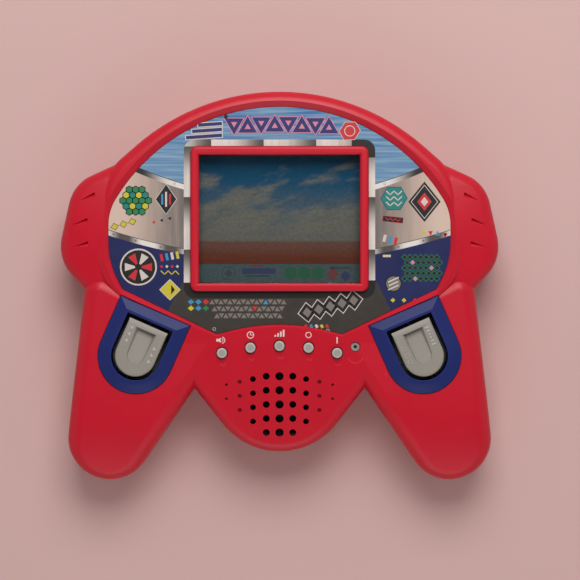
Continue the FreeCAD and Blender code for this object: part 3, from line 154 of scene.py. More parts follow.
class ButtonLooks(bpy.types.PropertyGroup):
    colour: colour_property("Button", "Colour of the small buttons", 180, 174, 166)
    reset: colour_property("Reset", "Colour of the reset button", 150, 142, 136)
    ink: colour_property("Ink", "Colour of the printed labels", 226, 206, 200)
    label_offset: length_property("Label Offset", "From a button's centre to its label's", 4.6)
    sign_scale: FloatProperty(name="Sign Scale", description="Size of the printed signs", default=1.25,
                              min=0.1)
    ink_height: length_property("Ink Height", "Thickness of the printed signs", 0.02)
    relief: length_property("Relief", "Height of the moulded arcs under the buttons", 0.06)


class FaceLooks(bpy.types.PropertyGroup):
    sky: colour_property("Sky", "Top of the printed sheet", 44, 100, 156)
    haze: colour_property("Haze", "Light streaks across the top", 128, 160, 182)
    cream: colour_property("Cream", "Side panels", 208, 182, 166)
    steel: colour_property("Steel", "Grey of the side panels and trims", 112, 104, 100)
    deep: colour_property("Deep Blue", "Lower side panels", 24, 30, 82)
    dark: colour_property("Dark", "Bottom panel", 56, 51, 46)
    ink_height: length_property("Ink", "Thickness of a printed mark", 0.03)


class ScreenLooks(bpy.types.PropertyGroup):
    sky: colour_property("Sky", "Top of the picture behind the panel", 4, 84, 124)
    cloud: colour_property("Cloud", "Clouds of that picture", 130, 124, 116)
    ground: colour_property("Ground", "Ground of that picture", 118, 54, 30)
    strip: colour_property("Strip", "Strip along the bottom of that picture", 86, 102, 106)


class StageLooks(bpy.types.PropertyGroup):
    floor: colour_property("Floor", "Colour of the floor", 208, 173, 169)
    distance: FloatProperty(name="Camera Height", description="From the face to the camera", default=0.75,
                            subtype="DISTANCE", unit="LENGTH")
    view_width: FloatProperty(name="View Width", description="Width of the view at the face", default=0.2117,
                              subtype="DISTANCE", unit="LENGTH", precision=4)
    key: FloatProperty(name="Key Light", description="Power of the main lamp", default=4.4, unit="POWER")
    near: FloatProperty(name="Near Light", description="Power of the lamp at the handles' end", default=1.3,
                        unit="POWER")
    fill: share_property("Fill", "Strength of the light from the sides", 0.65)
    overhead: share_property("Overhead", "Strength of the light from straight above", 0.15)


# Shader arithmetic

def by_node(operation, reflected=False):
    """An operator that adds a Math node; in a reflected one the value stands last."""
    def operator(value, *others):
        operands = (*others, value) if reflected else (value, *others)
        return value.nodes.maths(operation, *operands)
    return operator


class Value:
    """A shader socket that takes part in Python arithmetic; masks also take & | and ~."""

    def __init__(self, nodes, socket):
        self.nodes = nodes
        self.socket = socket

    def __invert__(self):
        return 1 - self

    __add__ = __radd__ = by_node("ADD")
    __sub__ = by_node("SUBTRACT")
    __rsub__ = by_node("SUBTRACT", reflected=True)
    __mul__ = __rmul__ = by_node("MULTIPLY")
    __truediv__ = by_node("DIVIDE")
    __pow__ = by_node("POWER")
    __abs__ = by_node("ABSOLUTE")
    __lt__ = by_node("LESS_THAN")
    __gt__ = by_node("GREATER_THAN")
    __and__ = by_node("MINIMUM")
    __or__ = by_node("MAXIMUM")


class Nodes:
    """A tree of shader nodes that grows by one node with each call."""

    def __init__(self, tree):
        self.tree = tree

    def node(self, kind, settings=None, sockets=None, result=0):
        """Adds a node, sets it up, feeds its sockets with values or links, and gives one of its results."""
        item = self.tree.nodes.new(kind)
        for name, value in (settings or {}).items():
            setattr(item, name, value)
        for name, value in (sockets or {}).items():
            self.feed(item.inputs[name], value)
        return Value(self, item.outputs[result])

    def feed(self, socket, value):
        if isinstance(value, Value):
            self.tree.links.new(value.socket, socket)
        elif socket.type == "RGBA" and len(value) == 3:
            socket.default_value = (*value, 1)
        else:
            socket.default_value = value

    def maths(self, operation, *values):
        return self.node("ShaderNodeMath", {"operation": operation}, dict(enumerate(values)))

    def parts(self, vector):
        """The x, y and z of a vector."""
        split = self.node("ShaderNodeSeparateXYZ", None, {0: vector})
        return [Value(self, output) for output in split.socket.node.outputs]


class Paint(Nodes):
    """A material whose patterns are laid out in millimetres on the object's own coordinates."""

    def __init__(self, name, **finish):
        self.material = bpy.data.materials.new(name)
        self.material.use_nodes = True
        super().__init__(self.material.node_tree)
        self.tree.nodes.clear()
        self.output = self.tree.nodes.new("ShaderNodeOutputMaterial")
        self.shader = self.tree.nodes.new("ShaderNodeBsdfPrincipled")
        self.tree.links.new(self.shader.outputs[0], self.output.inputs["Surface"])
        self.point = self.vector("SCALE", self.node("ShaderNodeTexCoord", result="Object"), Scale=1 / MM)
        for name, value in finish.items():
            self.set(name.replace("_", " ").title().replace("Ior", "IOR"), value)

    def set(self, socket, value):
        self.feed(self.shader.inputs[socket], value)

    def show_through(self, share, tint=(1, 1, 1)):
        """Makes the material clear, apart from a share of its shader."""
        clear = self.node("ShaderNodeBsdfTransparent", None, {"Color": tint})
        shader = Value(self, self.shader.outputs[0])
        mixed = self.node("ShaderNodeMixShader", None, {0: share, 1: clear, 2: shader})
        self.feed(self.output.inputs["Surface"], mixed)

    def vector(self, operation, *values, **named):
        sockets = {**dict(enumerate(values)), **named}
        return self.node("ShaderNodeVectorMath", {"operation": operation}, sockets)

    def clamp(self, value):
        return self.maths("MAXIMUM", self.maths("MINIMUM", value, 1.0), 0.0)

    def ramp(self, value, low, high):
        """0 below low, 1 above high and smooth between them."""
        sockets = {"Value": value, "From Min": low, "From Max": high}
        return self.node("ShaderNodeMapRange", {"interpolation_type": "SMOOTHSTEP"}, sockets)

    def mix(self, mask, below, above):
        """The colour below where the mask is 0, and the one above where it is 1."""
        return self.node("ShaderNodeMix", {"data_type": "RGBA"}, {0: mask, 6: below, 7: above}, 2)

    def axes(self):
        return self.parts(self.point)

    def stretched(self, size, stretch, at=None):
        factors = tuple(1 / (size * part) for part in stretch)
        return self.vector("MULTIPLY", at or self.point, factors)

    def noise(self, size, detail=2, stretch=(1, 1, 1), result="Fac", at=None):
        """Soft random variation whose lumps are about size millimetres across."""
        sockets = {"Vector": self.stretched(size, stretch, at), "Scale": 1, "Detail": detail}
        return self.node("ShaderNodeTexNoise", None, sockets, result)

    def cells(self, size, result="Distance", stretch=(1, 1, 1), **settings):
        """Distance from the middle of scattered cells, or each cell's own random colour."""
        sockets = {"Vector": self.stretched(size, stretch), "Scale": 1}
        return self.node("ShaderNodeTexVoronoi", settings, sockets, result)

    def bump(self, height, distance):
        self.set("Normal", self.node("ShaderNodeBump", None, {"Height": height, "Distance": distance * MM}))

    def scratches(self, share):
        """Patches of short bent scuffs; share is how much of the surface they cross."""
        warp = self.vector("SCALE", self.noise(4, 1, result="Color"), Scale=2.4)
        bent = self.vector("ADD", self.point, warp)
        lines = self.noise(0.9, 1, (0.12, 3, 3), at=bent) | self.noise(1.1, 1, (2.6, 0.14, 3), at=bent)
        patches = self.noise(14, 2)
        return self.ramp(lines, 0.76 - 0.06 * share, 0.82) * self.ramp(patches, 0.54, 0.66)

    def specks(self):
        """Scattered specks of dust, each about a tenth of a millimetre across."""
        spacing = 5.5
        random = self.node("ShaderNodeSeparateColor", None, {0: self.cells(spacing, "Color")})
        return (self.cells(spacing) < 0.022) * (random > 0.62)


def shade(colour, factor):
    """A colour made darker or lighter."""
    return tuple(min(part * factor, 1) for part in colour[:3])


def blended(one, other, share):
    """A colour on the way from one to the other."""
    return tuple(a + (b - a) * share for a, b in zip(one[:3], other[:3]))


# Finishes

def moulded(name, colour, roughness, grain=0.35, wear=0.5, shine=0.5, painted_shade=None):
    """Injection-moulded plastic: slight mottling, a fine eroded grain, rubbed patches, scuffs and dust, and
    painted shade, nearly black, where the function of that name gives 1."""
    paint = Paint(name, ior=1.5, specular_ior_level=shine)
    mottle = paint.noise(11, 3)
    scratch = paint.scratches(wear)
    base = paint.mix(mottle, shade(colour, 0.93), shade(colour, 1.07))
    base = paint.mix(scratch * (0.25 * wear), base, blended(colour, (1, 1, 1), 0.4))
    base = paint.mix(paint.specks() * (0.7 * wear), base, (0.75, 0.7, 0.68))
    if painted_shade:
        # Painted shade: the colour goes nearly black where the mask gives 1
        base = paint.mix(painted_shade(paint) * 0.92, base, shade(colour, 0.04))
    paint.set("Base Color", base)
    rubbed = paint.noise(19, 4)
    paint.set("Roughness", paint.clamp(roughness + (rubbed - 0.5) * 0.16 * wear + scratch * 0.12))
    height = paint.noise(0.28, 3) * grain + paint.noise(6, 2) * 1.5 - scratch * 0.5
    paint.bump(height, 0.02)
    return paint.material


def shade_in_the_well(paint):
    """Painted shade in the gap round a thumb rocker: none above the well's level, full a little below it."""
    x, y, z = paint.axes()
    fade = 1.2
    return paint.ramp(z, WELL_LEVEL, WELL_LEVEL - fade)


def shade_in_the_holes(paint):
    """Painted shade inside the sound holes and the dimples beside them, below the falling face; less of it in
    the dimples.
    """
    x, y, z = paint.axes()
    fall = paint.maths("MAXIMUM", BODY_FALL_Y - y, 0.0)
    face = BODY_LEVEL - fall * fall / (2 * BODY_FALL_RADIUS)
    reach = DIMPLE_REACH + paint.maths("MINIMUM", (y - NARROW_Y) * NARROWING, 0.0)
    field = (abs(x) < reach) & (y < HOLES_TOP_Y) & (y > HOLES_LOW_Y) & (z > INSIDE_LEVEL)
    less_in_dimples = (abs(x) > HOLE_REACH) * 0.4
    return paint.ramp(face - z, 0.14, 0.5) * field * (1 - less_in_dimples)


def round_middles(paint, nodes, inner, outer):
    """Within inner millimetres of the middle of a node, fading out at outer, as seen from the front."""
    x, y, z = paint.axes()
    offsets = [((x - place.x) ** 2 + (y - place.y) ** 2) ** 0.5 for place in map(middle_of, nodes)]
    nearest = offsets[0]
    for offset in offsets[1:]:
        nearest = nearest & offset
    return paint.ramp(nearest, outer, inner)


def rubbery(name, colour):
    """Moulded silicone with a dusty bloom."""
    paint = Paint(name, ior=1.42, specular_ior_level=0.3)
    bloom = paint.noise(3, 4)
    paint.set("Base Color", paint.mix(bloom, shade(colour, 0.85), blended(colour, (1, 1, 1), 0.12)))
    paint.set("Roughness", 0.62 + bloom * 0.2)
    paint.bump(paint.noise(0.2, 2), 0.01)
    return paint.material


def plated(name, colour, roughness, drawn=(1, 1, 1)):
    """Plated sheet metal with drawing lines and faint tarnish."""
    paint = Paint(name, metallic=1.0)
    tarnish = paint.noise(4, 5)
    paint.set("Base Color", paint.mix(paint.ramp(tarnish, 0.45, 0.75), colour, shade(colour, 0.72)))
    lines = paint.noise(0.3, 3, drawn)
    paint.set("Roughness", paint.clamp(roughness + (lines - 0.5) * 0.2 + (tarnish - 0.5) * 0.2))
    paint.bump(lines, 0.006)
    return paint.material


def circuit_board(name):
    """Brown phenolic board under green solder mask, with copper tracks and solder pads."""
    paint = Paint(name, ior=1.5)
    tracks = paint.cells(5, stretch=(1, 1, 4), distance="MANHATTAN")
    line = paint.ramp(abs(tracks - 0.55), 0.06, 0.03)
    pads = paint.cells(3.8) < 0.11
    mask = paint.mix(line, shown(24, 84, 48), shown(52, 120, 66))
    cover = paint.mix(pads, mask, shown(190, 188, 180))
    paint.set("Base Color", paint.mix(paint.noise(7, 3) * 0.3, cover, shown(70, 52, 26)))
    paint.set("Roughness", 0.34 + pads * 0.1)
    paint.bump(line * 0.6 + pads, 0.03)
    return paint.material


def clear_plastic(name, tint, gloss, shine):
    """A clear moulding: it lets light straight through, and its surface mirrors at a slant."""
    paint = Paint(name, base_color=(1, 1, 1), roughness=gloss, metallic=1.0)
    slant = paint.node("ShaderNodeFresnel", None, {"IOR": 1.36})
    smudge = paint.ramp(paint.noise(13, 4), 0.55, 0.8) * 0.01
    paint.show_through(paint.clamp(slant * shine + smudge), tint)
    return paint.material


def ink(name, colour, gloss=0.35):
    """Screen-printed ink, slightly uneven."""
    paint = Paint(name, ior=1.45)
    spread = paint.noise(0.5, 3)
    paint.set("Base Color", paint.mix(spread, shade(colour, 0.9), shade(colour, 1.05)))
    paint.set("Roughness", gloss + spread * 0.1)
    return paint.material


def trim_height(trim, out):
    """Where a printed trim lies at some way out from the middle."""
    middle, rise = trim
    return middle + out * out * rise


def printed_sheet(looks):
    """The faceplate's ground: streaked sky, cream and steel panels, deep blue below, dark at the bottom."""
    paint = Paint("printed_sheet", ior=1.48)
    x, y, z = paint.axes()
    out = abs(x)
    streak = paint.noise(3.2, 3, (9, 0.35, 1))
    fine = paint.noise(1.1, 2, (14, 0.3, 1))
    sky = paint.mix(paint.ramp(streak * 0.7 + fine * 0.3, 0.4, 0.64), looks.sky, looks.haze)
    sky = paint.mix(paint.ramp(y, 66, 42) * 0.45, sky, looks.haze)
    panel = paint.mix(paint.ramp(out, 34, 60), looks.steel, looks.cream)
    panel = paint.mix(paint.ramp(paint.noise(2, 3, (1, 12, 1)), 0.35, 0.75) * 0.22, panel, looks.cream)
    deep = paint.mix(paint.noise(16, 2), shade(looks.deep, 0.8), shade(looks.deep, 1.2))
    dark = paint.mix(paint.noise(3, 4), shade(looks.dark, 0.75), shade(looks.dark, 1.25))

    bright = shown(222, 214, 206)
    turn = abs(paint.maths("FRACT", out / 17 + 0.2) - 0.5) * 2
    upper_metal = paint.mix(paint.ramp(out, 50, 38), shade(looks.steel, 0.12), bright)
    lower_metal = paint.mix(paint.ramp(turn, 0.15, 0.8), shade(looks.steel, 0.5), bright)
    base = sky
    half_band, half_line = 1, 0.12
    # Each trim, the ground under it, its metal and the tone of the line along its upper edge
    trims = [(UPPER_TRIM, panel, upper_metal, 0.2), (LOWER_TRIM, deep, lower_metal, 0.4)]
    for trim, ground, metal, tone in trims:
        over = y - trim_height(trim, out)
        base = paint.mix(over < 0, base, ground)
        base = paint.mix(abs(over) < half_band, base, metal)
        base = paint.mix(abs(over - half_band) < half_line, base, shade(looks.steel, tone))
    dark_top = 1.4
    base = paint.mix((out < 36 - y * 0.5) & (y < dark_top), base, dark)

    # A round-cornered band of silver segments round the frame, black below it and at three corners; the black
    # below the frame is partly print and partly a painted shadow of the frame
    corner = 4
    beyond = paint.maths("MAXIMUM", out - (SCREEN_HALF_WIDTH + FRAME_BAND + BORDER - corner), 0.0)
    above = abs(y - SCREEN_Y)
    over = paint.maths("MAXIMUM", above - (SCREEN_HALF_LENGTH + FRAME_BAND + BORDER - corner), 0.0)
    inside = (beyond * beyond + over * over) ** 0.5 < corner
    level = above > SCREEN_HALF_LENGTH + FRAME_BAND
    step = paint.maths("FRACT", (x * level + y * ~level) / 19 + 0.3)
    silver = paint.mix(paint.ramp(step, 0.3, 1), bright, shade(looks.steel, 0.45))
    silver = paint.mix(paint.ramp(paint.noise(2, 2, (1, 9, 1)), 0.4, 0.7) * 0.2, silver, looks.steel)
    # Below the frame this black is partly a painted shadow of the frame
    black = (y < dark_top) | ((above > SCREEN_HALF_LENGTH - 1) & (out > SCREEN_HALF_WIDTH - 3) & (x > 0))
    base = paint.mix(inside, base, paint.mix(black, silver, shade(looks.dark, 0.3)))
    paint.set("Base Color", base)
    paint.set("Roughness", 0.3 + paint.noise(8, 3) * 0.12)
    paint.bump(paint.noise(5, 2), 0.03)
    return paint.material


def screen_picture(looks):
    """The picture behind the panel: a cloudy sky over bare ground, in the fine dots of cheap printing."""
    paint = Paint("screen_picture", specular_ior_level=0.1)
    x, y, z = paint.axes()
    height = y - (SCREEN_Y - SCREEN_HALF_LENGTH)
    slanted = paint.node("ShaderNodeVectorRotate", {"rotation_type": "Z_AXIS"},
                         {"Vector": paint.point, "Angle": math.radians(-14)})
    drift = paint.noise(8, 5, (2.4, 1, 1), at=slanted)
    wisps = paint.noise(2.2, 4, (3, 0.8, 1), at=slanted)
    billow = paint.ramp(drift * 0.7 + wisps * 0.3 - paint.ramp(height, 22, 44) * 0.16, 0.36, 0.56)
    sky = paint.mix(paint.ramp(height, 40, 18), looks.sky, blended(looks.sky, looks.cloud, 0.72))
    sky = paint.mix(billow * 0.92, sky, paint.mix(wisps, shade(looks.cloud, 0.7), shade(looks.cloud, 1.25)))
    sky = paint.mix(paint.ramp(height, 26, 15) * 0.7, sky, shade(looks.cloud, 0.86))
    soil = paint.mix(paint.noise(3, 4, (3, 0.6, 1)), shade(looks.ground, 0.75), shade(looks.ground, 1.25))
    soil = paint.mix(paint.ramp(height, 8, 15), soil, blended(looks.ground, looks.cloud, 0.3))
    picture = paint.mix(paint.ramp(height, 16, 14.6), sky, soil)
    strip_top, half_line = 7, 0.12
    picture = paint.mix(height < strip_top, picture, looks.strip)
    picture = paint.mix(abs(height - (strip_top + 0.1)) < half_line, picture, shade(looks.strip, 0.45))
    dots = (paint.cells(0.42) < 0.33) * 0.14 + paint.ramp(paint.noise(1.1, 3), 0.42, 0.6) * 0.16
    picture = paint.mix(dots, picture, shade(looks.sky, 0.3))
    paint.set("Base Color", picture)
    paint.set("Roughness", 0.5 + paint.noise(2, 2) * 0.1)
    return paint.material


def cell_wrap(name):
    """A battery cell: plain dark sleeve, a copper-coloured band at the cap end, bright metal ends."""
    paint = Paint(name, ior=1.5)
    low, high = box_of(name)
    half = (high.x - low.x) / 2
    towards_cap = 1 if name == "upper_battery" else -1
    x, y, z = paint.axes()
    along = (x - middle_of(name).x) * towards_cap
    cap, foot, band_end = half - 2.6, 0.9 - half, half - 17
    metal = (along > cap) | (along < foot)
    band = (along > band_end) & (along < cap)
    sleeve = paint.mix(band, shown(34, 34, 38), shown(176, 112, 58))
    sleeve = paint.mix(abs(along - (band_end - 0.6)) < 0.5, sleeve, shown(210, 208, 200))
    paint.set("Base Color", paint.mix(metal, sleeve, shown(205, 203, 198)))
    paint.set("Metallic", metal)
    paint.set("Roughness", 0.28 + paint.noise(6, 3) * 0.12)
    paint.bump(paint.noise(9, 2), 0.02)
    return paint.material


# Modelling helpers

def pick_only(*pieces):
    bpy.ops.object.select_all(action="DESELECT")
    for piece in pieces:
        piece.select_set(True)
    bpy.context.view_layer.objects.active = pieces[0]


def open_edit(piece, selected):
    pick_only(piece)
    bpy.ops.object.mode_set(mode="EDIT")
    bpy.ops.mesh.select_all(action="SELECT" if selected else "DESELECT")


def close_edit():
    bpy.ops.object.mode_set(mode="OBJECT")


def finish_with(piece, kind, **settings):
    """Adds a modifier, sets it up and applies it."""
    pick_only(piece)
    modifier = piece.modifiers.new(kind.title(), kind)
    for name, value in settings.items():
        setattr(modifier, name, value)
    bpy.ops.object.modifier_apply(modifier=modifier.name)


def soften(piece, width, segments=2, degrees=30, miter="MITER_SHARP"):
    """Rounds the edges at which the surface turns by more than so many degrees."""
    finish_with(piece, "BEVEL", width=width, segments=segments, limit_method="ANGLE",
                angle_limit=math.radians(degrees), miter_outer=miter)


def smooth(piece):
    """Shades each corner by the faces round its point that are turned alike, where large faces count most."""
    pick_only(piece)
    bpy.ops.object.shade_smooth()
    mesh = piece.data
    faces = [(polygon.normal.copy(), polygon.area) for polygon in mesh.polygons]
    around = [[] for vertex in mesh.vertices]
    for polygon in mesh.polygons:
        for i in polygon.vertices:
            around[i].append(faces[polygon.index])
    normals = [None] * len(mesh.loops)
    alike = math.cos(SMOOTH_ANGLE)
    for polygon in mesh.polygons:
        for i in polygon.loop_indices:
            near = around[mesh.loops[i].vertex_index]
            own = polygon.normal if polygon.area > SLIVER_AREA else max(near, key=lambda face: face[1])[0]
            total = sum((normal * area for normal, area in near if normal.dot(own) > alike), Vector())
            normals[i] = total.normalized() if total.length > 0 else own
    mesh.normals_split_custom_set(normals)


def falling_face(level, start_y, radius, y):
    """Height and normal of a face that is level and then falls back on an arc."""
    fall = max(start_y - y, 0)
    rise = math.sqrt(max(radius ** 2 - fall ** 2, 0))
    return level - radius + rise, Vector((0, -fall, rise)) / radius


def domed_face(x, y):
    """Height and normal of the ears' face."""
    across, along = abs(x) - EAR_DOME_X, y - EAR_DOME_Y
    rise = math.sqrt(EAR_DOME_RADIUS ** 2 - across ** 2 - along ** 2)
    side = math.copysign(1, x) * across
    return BODY_LEVEL - EAR_DOME_RADIUS + rise, Vector((side, along, rise)) / EAR_DOME_RADIUS


def follow_faces(piece):
    """Shades the case's broad faces by their true form, where the mesh's long triangles would show."""
    reach, lean = 0.003, math.radians(15)
    mesh = piece.data
    normals = [corner.vector.copy() for corner in mesh.corner_normals]
    for polygon in mesh.polygons:
        for i in polygon.loop_indices:
            x, y, z = mesh.vertices[mesh.loops[i].vertex_index].co / MM
            faces = [falling_face(BODY_LEVEL, BODY_FALL_Y, BODY_FALL_RADIUS, y),
                     falling_face(GRIP_LEVEL, GRIP_FALL_Y, GRIP_FALL_RADIUS, y), domed_face(x, y)]
            near = [normal for height, normal in faces if abs(z - height) < reach]
            closest = max(near, key=polygon.normal.dot, default=None)
            if closest and polygon.normal.angle(closest) < lean:
                normals[i] = closest
    mesh.normals_split_custom_set(normals)


def settle(piece, name, node, material):
    """Names and paints a finished piece, and ties it to the body of a node."""
    piece.name = name
    piece.data.name = name
    piece.data.materials.clear()
    piece.data.materials.append(material)
    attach(piece, BODY_OF[node])


def copy_of(node):
    """A merged copy of a node's mesh as a new object at the origin."""
    piece = bpy.data.objects.new(node + "_finish", frame["nodes"][node].data.copy())
    bpy.context.scene.collection.objects.link(piece)
    open_edit(piece, True)
    bpy.ops.mesh.remove_doubles(threshold=WELD)
    close_edit()
    return piece


def stands_for(piece, node, material):
    settle(piece, node + "_finish", node, material)
    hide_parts(node)


def stand_in(node, material, edge=0.0):
    """A node's shape with its sharp edges softened and its curves smooth."""
    piece = copy_of(node)
    if edge:
        soften(piece, edge, miter="MITER_ARC")
    smooth(piece)
    stands_for(piece, node, material)


def coat(node, material):
    """A node that keeps its own mesh and gets a finish."""
    slots = frame["nodes"][node].material_slots
    if slots:
        slots[0].material = material
    else:
        frame["nodes"][node].data.materials.append(material)


def flat_mark(kind, x, y, width, height, turn=0.0, z=0.0):
    """A flat shape in millimetres: a bar, one with 3, 4, 6 or many corners, a ring, or part of a ring."""
    corners = {"triangle": 3, "diamond": 4, "hexagon": 6}
    if kind == "bar":
        bpy.ops.mesh.primitive_plane_add(size=1)
    else:
        bpy.ops.mesh.primitive_circle_add(vertices=corners.get(kind, 32), radius=0.5, fill_type="NGON")
    piece = bpy.context.object
    piece.scale = (width * MM, height * MM, 1)
    bpy.ops.object.transform_apply()
    if kind in ("ring", "arc"):
        band = min(0.13 * width, 0.3)
        bpy.ops.object.mode_set(mode="EDIT")
        bpy.ops.mesh.inset(thickness=band * MM)
        bpy.ops.mesh.delete(type="FACE")
        if kind == "arc":
            bpy.ops.mesh.select_all(action="SELECT")
            bpy.ops.mesh.bisect(plane_co=(width * MM / 8, 0, 0), plane_no=(1, 0, 0), clear_inner=True)
        close_edit()
    piece.location = Vector((x, y, z)) * MM
    piece.rotation_euler = (0, 0, math.radians(turn))
    bpy.ops.object.transform_apply()
    return piece


def joined(pieces):
    """Several objects as one, at the origin."""
    pick_only(*pieces)
    bpy.ops.object.join()
    piece = bpy.context.object
    bpy.ops.object.transform_apply()
    return piece


def thicken(piece, thickness):
    """Gives flat marks a body above the plane that they were drawn on."""
    finish_with(piece, "SOLIDIFY", thickness=thickness, offset=1.0)


def marks_on(x, y, z, marks, turn=0.0, scale=1.0):
    """Flat marks given by kind, place from a middle, width, height and turn, as one object."""
    around = Matrix.Rotation(math.radians(turn), 3, "Z")
    pieces = []
    for kind, along, up, width, height, spin in marks:
        place = Vector((x, y, z)) + around @ Vector((along, up, 0)) * scale
        pieces.append(flat_mark(kind, place.x, place.y, width * scale, height * scale, spin + turn, place.z))
    return joined(pieces)


# Pieces

class HANDHELD_OT_case(bpy.types.Operator):
    """The two red case halves, with a fine seam between them"""
    bl_idname = "handheld.case"
    bl_label = "Case Halves"

    def execute(self, context):
        looks = context.scene.handheld_case
        # The red is darkened inside the sound holes and the dimples beside them: painted shade
        red = moulded("red_plastic", looks.colour, looks.roughness, shine=0.38, painted_shade=shade_in_the_holes)
        for node in ("front_shell", "rear_shell"):
            piece = copy_of(node)
            self.chamfer_seam(piece, looks.seam)
            smooth(piece)
            if node == "front_shell":
                follow_faces(piece)
            stands_for(piece, node, red)
        return {"FINISHED"}

    def chamfer_seam(self, piece, width):
        """Chamfers the sharp edges at the level where the two halves meet."""
        seam, reach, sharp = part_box("front_shell")[0].z, 0.01 * MM, math.radians(60)
        open_edit(piece, False)
        bpy.ops.mesh.select_mode(type="EDGE")
        mesh = bmesh.from_edit_mesh(piece.data)
        for edge in mesh.edges:
            at_seam = all(abs(vertex.co.z - seam) < reach for vertex in edge.verts)
            if at_seam and edge.calc_face_angle(0) > sharp:
                edge.select_set(True)
        bmesh.update_edit_mesh(piece.data)
        bpy.ops.mesh.bevel(offset=width, segments=1, affect="EDGES")
        close_edit()


